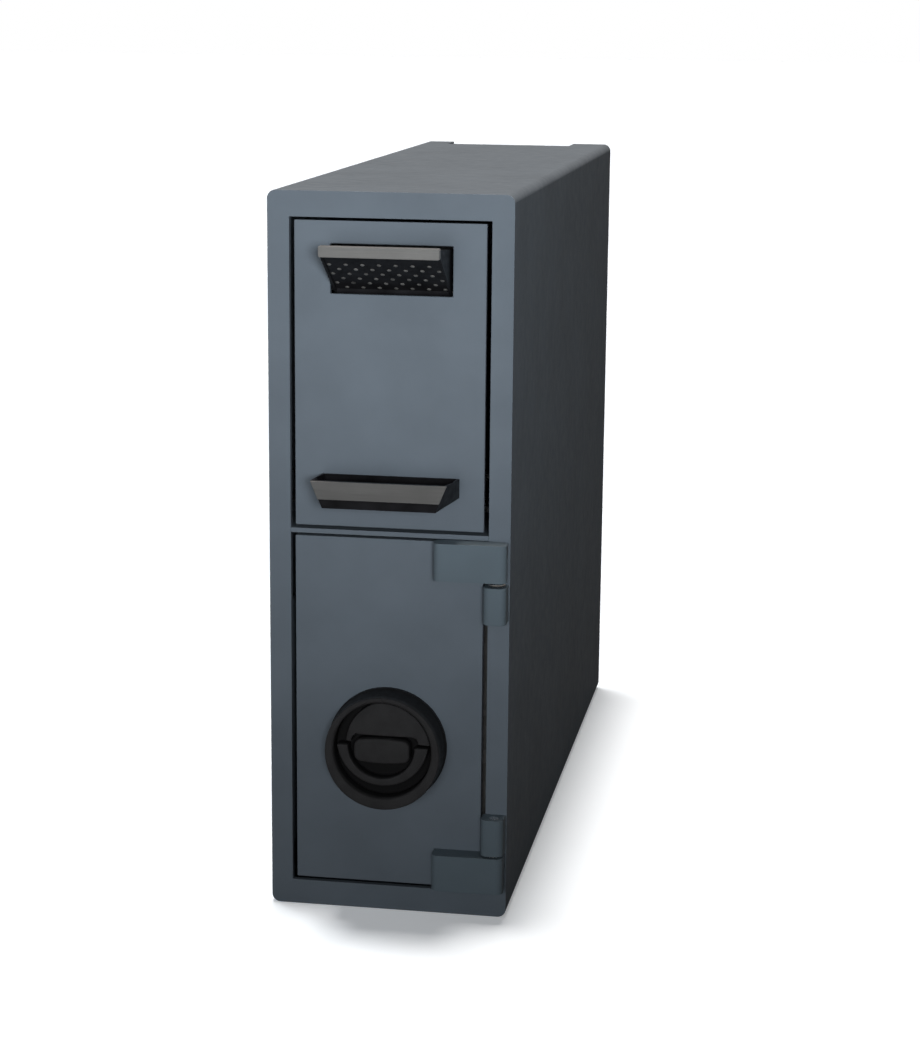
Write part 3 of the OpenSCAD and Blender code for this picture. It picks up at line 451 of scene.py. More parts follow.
def fit(piece, body, slot, *nodes, finish=None):
    """Gives a piece its material and its body, and hides the CAD nodes that it stands for."""
    piece.data.materials.clear()
    piece.data.materials.append(material_for(finish or slot))
    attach(piece, body)
    if nodes:
        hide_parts(*nodes)


def round_edges(piece, radius, segments=3, corner=30):
    """Rounds the edges that turn by more than a corner in degrees."""
    for face in piece.data.polygons:
        face.use_smooth = True
    bevel = piece.modifiers.new("round_edges", "BEVEL")
    bevel.width = radius
    bevel.segments = segments
    bevel.limit_method = "ANGLE"
    bevel.angle_limit = math.radians(corner)
    settle(piece)
    flatten_shading(piece)


def flatten_shading(piece):
    """Keeps the shading of flat faces flat up to their rounded edges."""
    piece.data.set_sharp_from_angle(angle=math.radians(50))
    normals = piece.modifiers.new("flat_faces", "WEIGHTED_NORMAL")
    normals.mode = "FACE_AREA"
    normals.keep_sharp = True
    normals.weight = 100
    settle(piece)


def smooth(piece, corner):
    """Shades a piece smooth, but not over edges that turn by more than a corner in degrees."""
    piece.data.shade_smooth()
    piece.data.set_sharp_from_angle(angle=math.radians(corner))


def soften(nodes, radius, segments=2, finish=None):
    """Makes a copy of each CAD node with rounded edges, and shows it in the node's place."""
    for node in nodes:
        piece = cad_copy(node, node + "_finish")
        round_edges(piece, radius, segments)
        fit(piece, body_of[node], slot_of[node], node, finish=finish)


def turned(form, profile, steps):
    """Adds a ring turned round the dial's axis. A profile point has radius, height and drop."""
    rows = []
    for step in range(steps):
        angle = 2 * math.pi * step / steps
        rows.append([
            form.verts.new((r * math.cos(angle), -h, r * math.sin(angle) - drop))
            for r, h, drop in profile])
    for row, after in zip(rows, rows[1:] + rows[:1]):
        for i in range(len(profile)):
            j = (i + 1) % len(profile)
            form.faces.new((row[i], row[j], after[j], after[i]))


def arc(x, z, r, start, end, count):
    """Points along an arc, with its angles in degrees."""
    angles = [math.radians(start + (end - start) * i / count) for i in range(count + 1)]
    return [(x + r * math.cos(a), z + r * math.sin(a)) for a in angles]


def inset(outline, distance):
    """An outline moved inwards. Its points run clockwise seen from the front."""
    moved = []
    for i, (x, z) in enumerate(outline):
        before = Vector(outline[i - 1])
        here = Vector((x, z))
        after = Vector(outline[(i + 1) % len(outline)])
        side = ((here - before).normalized() + (after - here).normalized()).normalized()
        moved.append(here + Vector((side.y, -side.x)) * distance)
    return moved


def raised(form, outline, base, height_at, soft, turns=4):
    """Adds a raised form: straight walls, a round edge and a top that follows height_at."""
    # A grid of cuts lets the top bend. Its shift keeps them off the outline's own points.
    pitch, lines, shift = 2.0, 20, 0.37
    start = set(form.verts)
    form.faces.new([form.verts.new((x, 0, z)) for x, z in inset(outline, soft)])
    for axis in (Vector((1, 0, 0)), Vector((0, 0, 1))):
        for step in range(-lines, lines + 1):
            fresh = [vert for vert in form.verts if vert not in start]
            edges = {edge for vert in fresh for edge in vert.link_edges}
            faces = {face for vert in fresh for face in vert.link_faces}
            bmesh.ops.bisect_plane(
                form, geom=fresh + list(edges) + list(faces),
                plane_co=axis * (step * pitch + shift), plane_no=axis, dist=1e-4)
    fresh = [vert for vert in form.verts if vert not in start]
    bmesh.ops.remove_doubles(form, verts=fresh, dist=0.1)
    fresh = [vert for vert in form.verts if vert not in start]
    rim = [edge for edge in {e for v in fresh for e in v.link_edges} if edge.is_boundary]
    outward = {}
    for edge in rim:
        first, second = edge.verts
        side = (second.co - first.co).cross(Vector((0, 1, 0))).normalized()
        if side.dot(first.co - edge.link_faces[0].calc_center_median()) < 0:
            side.negate()
        for vert in edge.verts:
            outward[vert] = outward.get(vert, Vector()) + side
    for vert in fresh:
        vert.co.y = -height_at(vert.co.x, vert.co.z)
    row = {vert: vert for vert in outward}
    angles = [math.pi / 2 * turn / turns for turn in range(1, turns + 1)]
    for angle in angles + [None]:
        after = {}
        for vert, side in outward.items():
            place = vert.co + side.normalized() * soft * (1 if angle is None else math.sin(angle))
            place.y = -base if angle is None else vert.co.y + soft * (1 - math.cos(angle))
            after[vert] = form.verts.new(place)
        for edge in rim:
            first, second = edge.verts
            form.faces.new((row[first], row[second], after[second], after[first]))
        row = after
    last = {edge for vert in row.values() for edge in vert.link_edges if edge.is_boundary}
    bmesh.ops.edgeloop_fill(form, edges=list(last))


MOULDED_CORNER = 38


def moulded_piece(form, name, axis, body, node):
    """Makes a piece of black plastic of a form in millimetres, set on its axis."""
    bmesh.ops.recalc_face_normals(form, faces=form.faces)
    bmesh.ops.transform(
        form, matrix=Matrix.Translation(axis) @ Matrix.Scale(MM, 4), verts=form.verts)
    piece = new_piece(form, name)
    smooth(piece, MOULDED_CORNER)
    fit(piece, body, "dial_black", node)


# Geometry Nodes

def new_tree(name, inputs):
    """A geometry tree with named inputs. Each input is a name, a socket type and a value."""
    tree = bpy.data.node_groups.new(name, "GeometryNodeTree")
    tree.interface.new_socket("Geometry", in_out="OUTPUT", socket_type="NodeSocketGeometry")
    for label, kind, value in inputs:
        socket = tree.interface.new_socket(label, in_out="INPUT", socket_type="NodeSocket" + kind)
        socket.default_value = value
    return tree, add(tree, "NodeGroupInput").outputs


def end_tree(tree, geometry, material):
    """Ends a tree in real meshes with one material."""
    whole = add(tree, "GeometryNodeRealizeInstances", {"Geometry": geometry})
    painted = add(tree, "GeometryNodeSetMaterial", {
        "Geometry": whole.outputs[0], "Material": material})
    add(tree, "NodeGroupOutput", {0: painted.outputs[0]})


def grown_piece(tree, name, values, body, slot, *nodes, finish=None):
    """Runs a tree on an empty mesh with the given input values and keeps the plain result."""
    piece = new_piece(bmesh.new(), name)
    grow = piece.modifiers.new("grow", "NODES")
    grow.node_group = tree
    for item in tree.interface.items_tree:
        if item.in_out == "INPUT" and item.name in values:
            grow[item.identifier] = values[item.name]
    settle(piece)
    smooth(piece, 35)
    fit(piece, body, slot, *nodes, finish=finish)


def maths(tree, operation, first, second):
    """The result of one sum."""
    return add(tree, "ShaderNodeMath", {0: first, 1: second}, operation=operation).outputs[0]


def raise_by(tree, node, height):
    """Moves what a node makes along Z."""
    step = add(tree, "ShaderNodeCombineXYZ", {"Z": height})
    return add(tree, "GeometryNodeTransform", {
        "Geometry": node.outputs[0], "Translation": step.outputs[0]})


def pip_tree():
    """Staggered rows of low round pips on a sloping plate."""
    tree, given = new_tree("hopper_pips", [
        ("Columns", "Int", 7), ("Rows", "Int", 6), ("Pitch", "Float", 0.0133),
        ("Row Pitch", "Float", 0.0085), ("Radius", "Float", 0.0018), ("Height", "Float", 0.00075),
        ("Place", "Vector", (0, 0, 0)), ("Turn", "Vector", (0, 0, 0))])
    width = maths(tree, "MULTIPLY", maths(tree, "SUBTRACT", given["Columns"], 1.0), given["Pitch"])
    depth = maths(tree, "MULTIPLY", maths(tree, "SUBTRACT", given["Rows"], 1.0), given["Row Pitch"])
    grid = add(tree, "GeometryNodeMeshGrid", {
        "Size X": width, "Size Y": depth,
        "Vertices X": given["Columns"], "Vertices Y": given["Rows"]})
    position = add(tree, "GeometryNodeInputPosition")
    spot = add(tree, "ShaderNodeSeparateXYZ", {0: position.outputs[0]})
    from_front = maths(tree, "ADD", spot.outputs["Y"], maths(tree, "MULTIPLY", depth, 0.5))
    row = maths(tree, "ROUND", maths(tree, "DIVIDE", from_front, given["Row Pitch"]), 0.0)
    odd = maths(tree, "SUBTRACT", maths(tree, "MODULO", row, 2.0), 0.5)
    shift = maths(tree, "MULTIPLY", odd, maths(tree, "MULTIPLY", given["Pitch"], 0.5))
    move = add(tree, "ShaderNodeCombineXYZ", {"X": shift})
    points = add(tree, "GeometryNodeSetPosition", {
        "Geometry": grid.outputs["Mesh"], "Offset": move.outputs[0]})
    ball = add(tree, "GeometryNodeMeshUVSphere", {
        "Segments": 16, "Rings": 10, "Radius": given["Radius"]})
    flat = add(tree, "ShaderNodeCombineXYZ", {
        "X": 1.0, "Y": 1.0, "Z": maths(tree, "DIVIDE", given["Height"], given["Radius"])})
    pips = add(tree, "GeometryNodeInstanceOnPoints", {
        "Points": points.outputs[0], "Instance": ball.outputs["Mesh"], "Scale": flat.outputs[0]})
    placed = add(tree, "GeometryNodeTransform", {
        "Geometry": pips.outputs[0], "Translation": given["Place"], "Rotation": given["Turn"]})
    # The pips take the pale coat whose colour is partly wear and partly painted highlight.
    end_tree(tree, placed.outputs[0], material_for("worn_coat"))
    return tree


def screw_tree():
    """Cap screws with a six-sided recess, set out on an upright grid and facing one way."""
    tree, given = new_tree("screws", [
        ("Across", "Int", 2), ("Up", "Int", 2), ("Width", "Float", 0.1), ("Height", "Float", 0.1),
        ("Head Radius", "Float", 0.004), ("Head Height", "Float", 0.002),
        ("Shank Radius", "Float", 0.002), ("Shank Length", "Float", 0.01),
        ("Place", "Vector", (0, 0, 0)), ("Turn", "Vector", (0, 0, 0))])
    radius, rise = given["Head Radius"], given["Head Height"]
    half_rise = maths(tree, "MULTIPLY", rise, 0.5)
    narrow = maths(tree, "MULTIPLY", radius, 0.86)
    lower = add(tree, "GeometryNodeMeshCylinder", {
        "Vertices": 40, "Radius": radius, "Depth": half_rise})
    upper = add(tree, "GeometryNodeMeshCone", {
        "Vertices": 40, "Radius Top": narrow, "Radius Bottom": radius, "Depth": half_rise})
    lower = raise_by(tree, lower, maths(tree, "MULTIPLY", half_rise, 0.5))
    upper = raise_by(tree, upper, half_rise)
    head = add(tree, "GeometryNodeMeshBoolean", operation="UNION", solver="EXACT")
    tree.links.new(lower.outputs[0], head.inputs["Mesh 2"])
    tree.links.new(upper.outputs[0], head.inputs["Mesh 2"])
    recess = add(tree, "GeometryNodeMeshCylinder", {
        "Vertices": 6, "Radius": maths(tree, "MULTIPLY", radius, 0.5), "Depth": rise})
    recess = raise_by(tree, recess, rise)
    drilled = add(
        tree, "GeometryNodeMeshBoolean",
        {"Mesh 1": head.outputs[0], "Mesh 2": recess.outputs[0]},
        operation="DIFFERENCE", solver="EXACT")
    shank = add(tree, "GeometryNodeMeshCylinder", {
        "Vertices": 24, "Radius": given["Shank Radius"], "Depth": given["Shank Length"]})
    shank = raise_by(tree, shank, maths(tree, "MULTIPLY", given["Shank Length"], -0.5))
    screw = add(tree, "GeometryNodeJoinGeometry")
    tree.links.new(drilled.outputs[0], screw.inputs[0])
    tree.links.new(shank.outputs[0], screw.inputs[0])
    grid = add(tree, "GeometryNodeMeshGrid", {
        "Size X": given["Width"], "Size Y": given["Height"],
        "Vertices X": given["Across"], "Vertices Y": given["Up"]})
    screws = add(tree, "GeometryNodeInstanceOnPoints", {
        "Points": grid.outputs["Mesh"], "Instance": screw.outputs[0]})
    placed = add(tree, "GeometryNodeTransform", {
        "Geometry": screws.outputs[0], "Translation": given["Place"], "Rotation": given["Turn"]})
    end_tree(tree, placed.outputs[0], material_for("screw_steel"))
    return tree


def spring_tree():
    """Two coils of wire along X, some way apart."""
    tree, given = new_tree("springs", [
        ("Turns", "Float", 6.0), ("Coil Radius", "Float", 0.0026), ("Wire Radius", "Float", 0.0005),
        ("Length", "Float", 0.007), ("Spacing", "Float", 0.1), ("Place", "Vector", (0, 0, 0))])
    coil = add(tree, "GeometryNodeCurveSpiral", {
        "Resolution": 24, "Rotations": given["Turns"], "Start Radius": given["Coil Radius"],
        "End Radius": given["Coil Radius"], "Height": given["Length"]})
    ring = add(tree, "GeometryNodeCurvePrimitiveCircle", {
        "Resolution": 10, "Radius": given["Wire Radius"]})
    wire = add(tree, "GeometryNodeCurveToMesh", {
        "Curve": coil.outputs[0], "Profile Curve": ring.outputs[0], "Fill Caps": True})
    laid = add(tree, "GeometryNodeTransform", {
        "Geometry": wire.outputs[0], "Rotation": (0, math.pi / 2, 0)})
    step = add(tree, "ShaderNodeCombineXYZ", {"X": given["Spacing"]})
    places = add(tree, "GeometryNodeMeshLine", {
        "Count": 2, "Start Location": given["Place"], "Offset": step.outputs[0]})
    coils = add(tree, "GeometryNodeInstanceOnPoints", {
        "Points": places.outputs[0], "Instance": laid.outputs[0]})
    end_tree(tree, coils.outputs[0], material_for("spring_steel"))
    return tree


# Screws by CAD node: name, columns, and the radius and height of a head in millimetres
SCREWS = {
    "pan_screws": ("pan_cap_screws", 2, 4.5, 2.5),
    "lock_screws": ("lock_cover_screws", 2, 3.2, 1.8),
    "bolt_screws": ("carriage_screws", 1, 4.0, 2.0),
}
FACING_BACK = (-math.pi / 2, 0, 0)


def screw_set(tree, node):
    """Two rows of screws in the places of a CAD node's screws, sized from the node's own box."""
    name, columns, radius, height = SCREWS[node]
    head, rise = radius * MM, height * MM
    low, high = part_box(node)
    middle = (low + high) / 2
    grown_piece(tree, name, {
        "Across": columns, "Up": 2, "Width": high.x - low.x - 2 * head if columns > 1 else 0,
        "Height": high.z - low.z - 2 * head, "Head Radius": head, "Head Height": rise,
        "Shank Radius": head * 0.5, "Shank Length": high.y - low.y - rise,
        "Place": (middle.x, high.y - rise, middle.z), "Turn": FACING_BACK,
    }, body_of[node], slot_of[node], node)


# One operator for each group of pieces

class SAFE_OT_cabinet(bpy.types.Operator):
    """Join the wrap to the front frame, and finish the plates that are welded to them"""
    bl_idname = "safe.cabinet"
    bl_label = "Cabinet"

    def execute(self, context):
        edges = settings("edges")
        shell = cad_copy("body_shell", "cabinet")
        weld(shell, cad_copy("front_frame", "cabinet_front"))
        round_edges(shell, edges.cabinet)
        fit(shell, "body", "slate_paint", "body_shell", "front_frame")
        soften(["back_plate", "bolt_keeper"], edges.bar)
        soften([
            "divider_shelf", "slot_guard_front", "slot_guard_rear", "drawer_stop",
            "slide_spacers"], edges.sheet)
        soften(["stop_buffers"], edges.bend)
        return {"FINISHED"}


class SAFE_OT_door(bpy.types.Operator):
    """Finish the door plate, the pan behind it and the bolt work"""
    bl_idname = "safe.door"
    bl_label = "Vault door"

    def execute(self, context):
        edges = settings("edges")
        soften(["door_plate"], edges.plate, 3)
        soften(["door_pan"], edges.bend, 3)
        soften(["dog_bar", "lock_case", "bolt_guides", "locking_bolts"], edges.bar)
        soften([
            "lock_cover", "bolt_carriage", "lock_bolt", "lock_link", "fence_lever", "pan_posts",
            "drive_cam", "combination_wheels", "dial_spindle"], edges.sheet)
        return {"FINISHED"}


class SAFE_OT_hinges(bpy.types.Operator):
    """Round the hinge leaves and knuckles as forged blocks"""
    bl_idname = "safe.hinges"
    bl_label = "Hinges"

    def execute(self, context):
        edges = settings("edges")
        soften([
            "top_hinge_leaf", "bottom_hinge_leaf", "top_knuckle", "bottom_knuckle"],
            edges.hinge, 4)
        soften(["top_hinge_pin", "bottom_hinge_pin"], edges.sheet)
        bearings = cad_copy("hinge_bearings", "hinge_bearings_finish")
        smooth(bearings, 40)
        fit(bearings, "body", "bright_steel", "hinge_bearings")
        return {"FINISHED"}


class SAFE_OT_dial(bpy.types.Operator):
    """Model the dial ring, the dial with its dome and finger rib, and the grip"""
    bl_idname = "safe.dial"
    bl_label = "Dial"

    def execute(self, context):
        dial = settings("dial")
        axis = pivot_of["dial_turn"]
        self.ring(dial, axis)
        self.knob(dial, axis)
        self.grip(dial, axis)
        return {"FINISHED"}

    def ring(self, dial, axis):
        """Turns the fixed ring: foot, step, taper, round front edge and the well of the dial."""
        low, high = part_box("dial_ring")
        base_r = (high.x - low.x) / 2 / MM
        height = (high.y - low.y) / MM
        drop = (axis.z - (low.z + high.z) / 2) / MM
        knob_low, knob_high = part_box("dial")
        gap, taper, hole_r, soft = 0.5, 2.0, 5.0, 1.5
        front_r = base_r - taper
        in_r = (knob_high.x - knob_low.x) / 2 / MM + gap
        floor = (axis.y - knob_high.y) / MM - 1
        outside = [(base_r, 0), (base_r, 3.4)] + arc(base_r - 0.6, 3.6, 0.6, 20, 80, 3)
        outside += [(front_r + 1.1, 5.6), (front_r + 0.95, 6.4), (front_r, height - soft - 0.2)]
        outside += arc(front_r - soft, height - soft, soft, 5, 90, 6)
        lead_in = ((1.9, 1.5), (1.35, 1.38), (0.3, 0.3), (0, -0.3))
        inside = [(in_r + x, height - 1.5 + h) for x, h in lead_in]
        inside += arc(in_r - 1, floor + 1, 1, 0, -90, 4) + [(hole_r, floor), (hole_r, 0)]
        profile = [(r, h, drop) for r, h in outside] + [(r, h, 0) for r, h in inside]
        form = bmesh.new()
        turned(form, profile, dial.steps)
        moulded_piece(form, "dial_housing", axis, "door", "dial_ring")
        self.tick(axis, in_r, front_r - drop, height)

    def tick(self, axis, start, end, height):
        """Cuts the short index groove at the top of the ring."""
        width, depth = 1.1, 1.0
        housing = bpy.data.objects["dial_housing"]
        form = bmesh.new()
        bmesh.ops.create_cube(form, size=1.0)
        size = Vector((width, 2 * depth, end - start + 2)) * MM
        bmesh.ops.scale(form, vec=size, verts=form.verts)
        spot = axis + Vector((0, -height, (start + end) / 2)) * MM
        bmesh.ops.translate(form, vec=spot, verts=form.verts)
        combine(housing, new_piece(form, "tick_cutter"), "DIFFERENCE")
        housing.data.set_sharp_from_angle(angle=math.radians(MOULDED_CORNER))

    def knob(self, dial, axis):
        """Turns the dial's disc and raises the dome and the finger rib on it."""
        low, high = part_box("dial")
        grip_low, grip_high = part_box("dial_grip")
        r = (high.x - low.x) / 2 / MM
        half = (grip_high.x - grip_low.x) / 2 / MM
        tall = (grip_high.z - grip_low.z) / 2 / MM
        face = (axis.y - high.y) / MM
        floor = face + dial.disc
        root = floor - 0.5
        form = bmesh.new()
        turned(form, [
            (4, face, 0), (r, face, 0), (r, floor - 0.8, 0), (r - 0.25, floor - 0.25, 0),
            (r - 0.8, floor, 0), (4, floor, 0)], dial.steps)
        raised(form, self.dome(r, half, tall), root, self.crown(dial, r, floor), dial.soft)
        raised(
            form, self.rib(r, half, tall), root, lambda x, z: floor + dial.rib_height, dial.soft)
        moulded_piece(form, "dial_knob", axis, "dial", "dial")

    shift_x, shift_z = 7.0, 4.5

    def dome(self, r, half, tall):
        """The outline of the dome, which stands off the axis and leaves a slot for the grip."""
        dome_r, clip_r = r - 3, r - 0.5
        low = 6.5
        left, right, top = -half - 3, half + 7, tall + 2.5
        corner = 6.0
        left_end = 180 - math.degrees(math.asin((low - self.shift_z) / dome_r))
        right_end = math.degrees(math.asin(low / clip_r))
        apart = math.hypot(self.shift_x, self.shift_z)
        opened = math.acos((clip_r ** 2 + apart ** 2 - dome_r ** 2) / (2 * clip_r * apart))
        meet = math.atan2(self.shift_z, self.shift_x) + opened
        dome_end = math.atan2(
            clip_r * math.sin(meet) - self.shift_z, clip_r * math.cos(meet) - self.shift_x)
        outline = arc(
            self.shift_x, self.shift_z, dome_r, left_end, math.degrees(dome_end) + 1, 28)
        outline += arc(0, 0, clip_r, math.degrees(meet) - 1, right_end, 30)
        outline += arc(right - corner, top - corner, corner, 0, 90, 8)
        outline += arc(left + corner, top - corner, corner, 90, 180, 8)
        return outline + [(left, low)]

    def crown(self, dial, r, floor):
        """The height of the dome at a place."""
        dome_r = r - 3
        rise = dial.dome_crown - dial.dome_edge

        def height_at(x, z):
            out = min(math.hypot(x - self.shift_x, z - self.shift_z) / dome_r, 1)
            return floor + dial.dome_edge + rise * math.sqrt(1 - out * out)

        return height_at

    def rib(self, r, half, tall):
        """The outline of the finger rib, a crescent between two arcs below the grip."""
        end = 3.0
        outer_z, outer_r = 8.0, r - 2.3
        inner_x, inner_z = -1, 3.7
        inner_r = 8.2 + math.hypot(half - 5, tall - 6 + inner_z)
        outer_end = math.degrees(math.asin((end - outer_z) / outer_r))
        inner_end = math.degrees(math.asin((end - inner_z) / inner_r))
        outer = arc(0, outer_z, outer_r, 360 + outer_end, 180 - outer_end, 48)
        return outer + arc(inner_x, inner_z, inner_r, 180 - inner_end, 360 + inner_end, 40)

    def grip(self, dial, axis):
        """Raises the grip bar, with bowed long sides and round corners, on a short round foot."""
        low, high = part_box("dial_grip")
        half = (high.x - low.x) / 2 / MM
        tall = (high.z - low.z) / 2 / MM
        floor = (axis.y - high.y) / MM
        foot_r, foot_top = tall - 1, floor + 2.5
        corner = 6.0
        form = bmesh.new()
        turned(form, [
            (4, floor, 0), (foot_r, floor, 0), (foot_r, foot_top, 0), (4, foot_top, 0)], 64)
        bulge = 2 * half * half / 8
        end = half - corner
        sag = end * end / 2 / bulge
        top = [(x, tall - x * x / 2 / bulge) for x in [end * i / 8 for i in range(-8, 9)]]
        right = arc(end, tall - sag - corner, corner, 80, 0, 6)
        left = [(-x, z) for x, z in right]
        outline = top + right
        outline += [(x, -z) for x, z in reversed(right)] + [(x, -z) for x, z in reversed(top)]
        outline += [(x, -z) for x, z in left] + list(reversed(left))

        def top_at(x, z):
            return floor + dial.grip_rise - 1.2 * (z / tall) ** 2 - 0.5 * (x / half) ** 2

        raised(form, outline, floor + 2, top_at, 2.0, turns=5)
        moulded_piece(form, "dial_grip_bar", axis, "dial", "dial_grip")


class SAFE_OT_drawer(bpy.types.Operator):
    """Finish the drawer front, its box, its chute and its slides"""
    bl_idname = "safe.drawer"
    bl_label = "Deposit drawer"

    def execute(self, context):
        edges = settings("edges")
        soften(["drawer_front"], edges.plate, 3)
        soften([
            "drawer_box", "chute_partition", "chute_ramp", "hopper_ears", "outer_slides",
            "middle_slides", "inner_slides", "pivot_rod"], edges.sheet)
        return {"FINISHED"}


class SAFE_OT_pull(bpy.types.Operator):
    """Finish the drawer's trough pull and its brushed face"""
    bl_idname = "safe.pull"
    bl_label = "Drawer pull"

    def execute(self, context):
        edges = settings("edges")
        soften(["pull_trough"], edges.bar, 3)
        # The pull's face uses a darker copy of the lip's brushed steel, which is painted shade.
        soften(["pull_face"], edges.sheet, 3, finish="brushed_face")
        return {"FINISHED"}


class SAFE_OT_hopper(bpy.types.Operator):
    """Model the sloping plate with its pips, and finish the cheeks, baffle and lip bar"""
    bl_idname = "safe.hopper"
    bl_label = "Hopper"

    def execute(self, context):
        edges = settings("edges")
        soften(["hopper_cheeks", "rear_baffle"], edges.sheet)
        soften(["lip_bar"], edges.bar, 3)
        hopper = settings("hopper")
        pivot = pivot_of["hopper_tilt"]
        bar_low, bar_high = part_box("lip_bar")
        up = Vector((0, -math.cos(hopper.slope), math.sin(hopper.slope)))
        across = Vector((0, math.sin(hopper.slope), math.cos(hopper.slope)))
        reach = (pivot.y - bar_high.y) / math.cos(hopper.slope)
        self.plate(hopper, pivot, up, across, reach, edges.sheet)
        self.pips(hopper, pivot, up, across, reach)
        return {"FINISHED"}

    def plate(self, hopper, pivot, up, across, reach, edge):
        """Makes the plate that slopes up to the lip bar, with its hem rolled round the rod."""
        low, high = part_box("hopper_plate")
        rod_low, rod_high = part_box("pivot_rod")
        half = hopper.sheet / 2
        bore = (rod_high.z - rod_low.z) / 2 + 0.05 * MM
        near = bore + half
        sheet = []
        for along, side in ((near, -half), (reach, -half), (reach, half), (near, half)):
            slant = side * math.tan(hopper.slope) if along == reach else 0
            sheet.append(pivot + up * (along + slant) + across * side)
        hem = []
        for r in (bore, bore + hopper.sheet):
            hem.append([pivot + Vector((0, y, z)) for y, z in arc(0, 0, r, 0, 345, 23)])
        plate = self.bar(low.x, high.x, [sheet], "hopper_tread")
        weld(plate, self.bar(low.x, high.x, hem, "hopper_hem"))
        round_edges(plate, edge)
        fit(plate, "hopper", "fitting_black", "hopper_plate")

    def pips(self, hopper, pivot, up, across, reach):
        """Grows the rows of pips on the underside of the plate."""
        rows_deep = (hopper.pip_rows - 1) * hopper.row_pitch
        middle = reach - hopper.first_row - rows_deep / 2
        grown_piece(pip_tree(), "hopper_pips", {
            "Columns": hopper.pip_columns, "Rows": hopper.pip_rows, "Pitch": hopper.pip_pitch,
            "Row Pitch": hopper.row_pitch, "Radius": hopper.pip_radius,
            "Height": hopper.pip_height, "Turn": (-hopper.slope, 0, 0),
            "Place": pivot + up * middle - across * hopper.sheet / 2,
        # The pips' paler colour is partly wear and partly painted highlight.
        }, "hopper", "fitting_black", finish="worn_coat")

    def bar(self, x0, x1, loops, name):
        """A bar along X: solid from one loop of points, hollow from an inner and an outer one."""
        form = bmesh.new()
        ends = []
        for x in (x0, x1):
            ends.append([
                [form.verts.new((x, point.y, point.z)) for point in loop] for loop in loops])
        for first, second in zip(*ends):
            for i, vert in enumerate(first):
                form.faces.new((first[i - 1], vert, second[i], second[i - 1]))
        for end in ends:
            if len(end) == 1:
                form.faces.new(end[0])
            else:
                for i, vert in enumerate(end[0]):
                    form.faces.new((end[0][i - 1], vert, end[1][i], end[1][i - 1]))
        bmesh.ops.recalc_face_normals(form, faces=form.faces)
        return new_piece(form, name)


class SAFE_OT_fasteners(bpy.types.Operator):
    """Grow the screws and the hopper's return springs"""
    bl_idname = "safe.fasteners"
    bl_label = "Screws and springs"

    def execute(self, context):
        tree = screw_tree()
        for node in SCREWS:
            screw_set(tree, node)
        low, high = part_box("return_springs")
        wire, each, turns = 0.5 * MM, 8 * MM, 6.0
        grown_piece(spring_tree(), "hopper_springs", {
            "Turns": turns, "Coil Radius": (high.z - low.z) / 2 - wire, "Wire Radius": wire,
            "Length": each - 2 * wire, "Spacing": high.x - low.x - each,
            "Place": Vector((low.x + wire, (low.y + high.y) / 2, (low.z + high.z) / 2)),
        }, "drawer", "spring_steel", "return_springs")
        return {"FINISHED"}


# The tints of the lamps
WARM = (1, 0.87, 0.77)
COOL = (0.97, 0.99, 1)


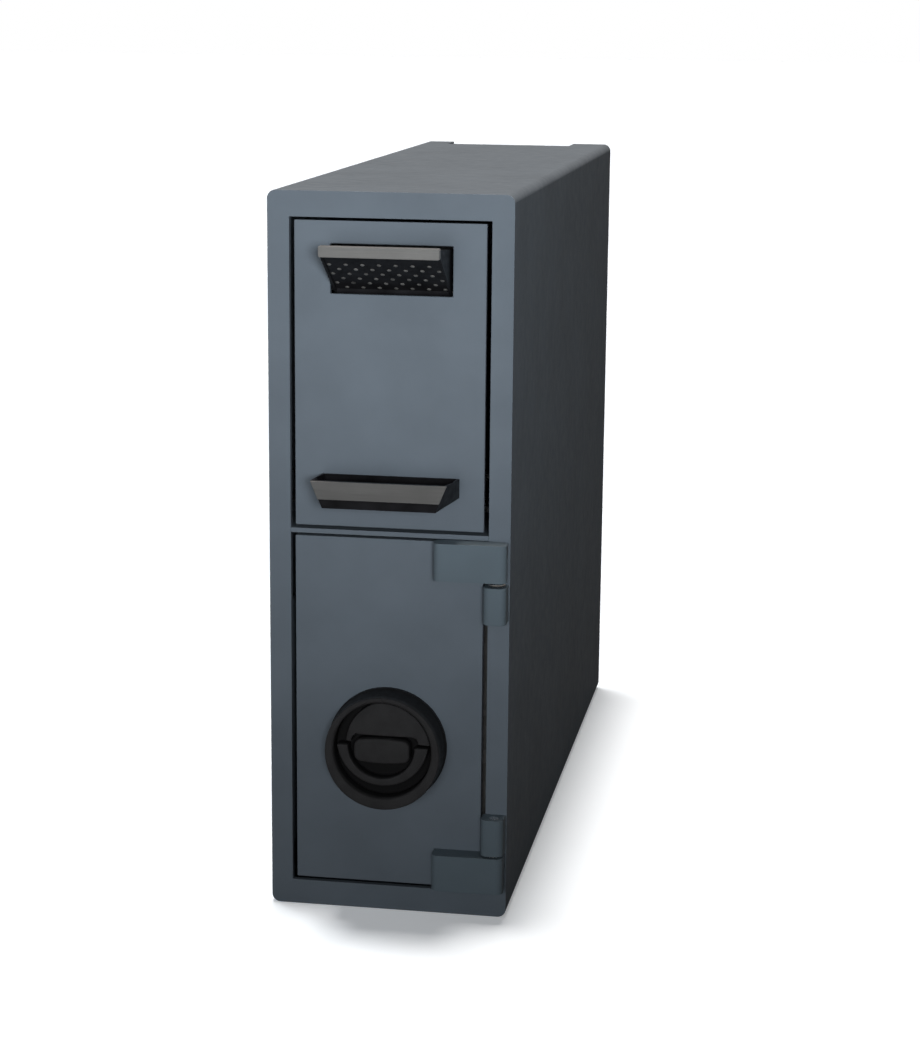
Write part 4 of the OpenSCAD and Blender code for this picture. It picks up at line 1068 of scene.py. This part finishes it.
class SAFE_OT_stage(bpy.types.Operator):
    """Set up the pale floor, the lights and the camera"""
    bl_idname = "safe.stage"
    bl_label = "Stage"

    def execute(self, context):
        stage = settings("stage")
        scene = context.scene
        scene.view_settings.view_transform = "Standard"
        self.floor()
        self.world(stage)
        self.lamps(stage)
        lens = bpy.data.cameras.new("camera")
        lens.lens = stage.lens
        lens.sensor_width = 36
        camera = bpy.data.objects.new("camera", lens)
        view = Vector(stage.aim).to_track_quat("-Z", "Y") @ Quaternion((0, 0, 1), stage.roll)
        camera.matrix_world = Matrix.Translation(stage.camera) @ view.to_matrix().to_4x4()
        scene.collection.objects.link(camera)
        scene.camera = camera
        return {"FINISHED"}

    def floor(self):
        """A floor that the camera sees white beside its shadow, but that hardly gives light."""
        form = bmesh.new()
        bmesh.ops.create_grid(form, x_segments=1, y_segments=1, size=30)
        floor = new_piece(form, "floor")
        floor.location.z = -0.0003
        material, tree, shader = blank("pale_floor")
        shader.inputs["Roughness"].default_value = 0.9
        shader.inputs["Specular IOR Level"].default_value = 0.0
        path = add(tree, "ShaderNodeLightPath")
        shown = path.outputs["Is Camera Ray"]
        pale = blend(tree, shown, (0.05, 0.05, 0.05), (0.77, 0.885, 1))
        tree.links.new(pale, shader.inputs["Base Color"])
        shader.inputs["Emission Color"].default_value = (1, 1, 1, 1)
        tree.links.new(maths(tree, "MULTIPLY", shown, 0.27), shader.inputs["Emission Strength"])
        floor.data.materials.append(material)

    def world(self, stage):
        """A world that is white to the camera, dimmer in reflections and faint as a light."""
        world = bpy.data.worlds.new("studio")
        bpy.context.scene.world = world
        world.use_nodes = True
        tree = world.node_tree
        tree.nodes.clear()
        path = add(tree, "ShaderNodeLightPath")
        seen = maths(
            tree, "MAXIMUM", path.outputs["Is Glossy Ray"], path.outputs["Is Transmission Ray"])
        part = maths(tree, "MULTIPLY", seen, 0.25)
        shown = maths(tree, "MAXIMUM", path.outputs["Is Camera Ray"], part)
        strength = maths(tree, "MAXIMUM", shown, stage.fill)
        sky = add(tree, "ShaderNodeBackground", {"Color": (1, 1, 1, 1), "Strength": strength})
        add(tree, "ShaderNodeOutputWorld", {"Surface": sky.outputs[0]})

    def lamps(self, stage):
        """Two suns from above and behind, a spot on the drawer and a disk for the whole front."""
        self.lamp(
            "overhead", "SUN", stage.sun, (-0.11, 0.13, 3), (0, 0, 0),
            angle=math.radians(8), color=WARM)
        self.lamp(
            "rear", "SUN", stage.rear, (-2.2, 1.6, 1), (0, 0, 0), angle=math.radians(20))
        self.lamp(
            "key", "SPOT", stage.key, (0.62, -2.4, 0.8), (-0.01, -0.35, 0.58),
            spot_size=math.radians(25), spot_blend=1.0, shadow_soft_size=0.25, color=COOL)
        self.lamp(
            "front", "AREA", stage.front, (-0.1, -2.2, 0.4), (0, -0.35, 0.3),
            shape="DISK", size=0.8, color=COOL)

    def lamp(self, name, kind, energy, place, target, **options):
        """Adds a lamp that shines from its place to its target and isn't seen itself."""
        light = bpy.data.lights.new(name, kind)
        light.energy = energy
        for option, value in options.items():
            setattr(light, option, value)
        lamp = bpy.data.objects.new(name, light)
        lamp.visible_camera = False
        lamp.visible_glossy = False
        aim = (Vector(target) - Vector(place)).to_track_quat("-Z", "Y")
        lamp.matrix_world = Matrix.Translation(place) @ aim.to_matrix().to_4x4()
        bpy.context.scene.collection.objects.link(lamp)


OPERATORS = [
    SAFE_OT_cabinet, SAFE_OT_door, SAFE_OT_hinges, SAFE_OT_dial, SAFE_OT_drawer, SAFE_OT_pull,
    SAFE_OT_hopper, SAFE_OT_fasteners, SAFE_OT_stage,
]


class SAFE_PT_panel(bpy.types.Panel):
    """Lists the steps that finish the safe"""
    bl_idname = "SAFE_PT_panel"
    bl_label = "Drop Safe"
    bl_space_type = "VIEW_3D"
    bl_region_type = "UI"
    bl_category = "Drop Safe"

    def draw(self, context):
        for operator in OPERATORS:
            self.layout.operator(operator.bl_idname)
        for group in GROUPS:
            values = settings(group)
            self.layout.label(text=group.capitalize())
            for name in values.bl_rna.properties.keys():
                if name not in ("rna_type", "name"):
                    self.layout.prop(values, name)


def register():
    for group in GROUPS.values():
        bpy.utils.register_class(group)
    for name, group in GROUPS.items():
        setattr(bpy.types.Scene, "safe_" + name, bpy.props.PointerProperty(type=group))
    for item in OPERATORS + [SAFE_PT_panel]:
        bpy.utils.register_class(item)


def unregister():
    for item in reversed(OPERATORS + [SAFE_PT_panel]):
        bpy.utils.unregister_class(item)
    for name in GROUPS:
        delattr(bpy.types.Scene, "safe_" + name)
    for group in reversed(GROUPS.values()):
        bpy.utils.unregister_class(group)


def main():
    register()
    for operator in OPERATORS:
        family, name = operator.bl_idname.split(".")
        getattr(getattr(bpy.ops, family), name)()


if __name__ == "__main__":
    main()
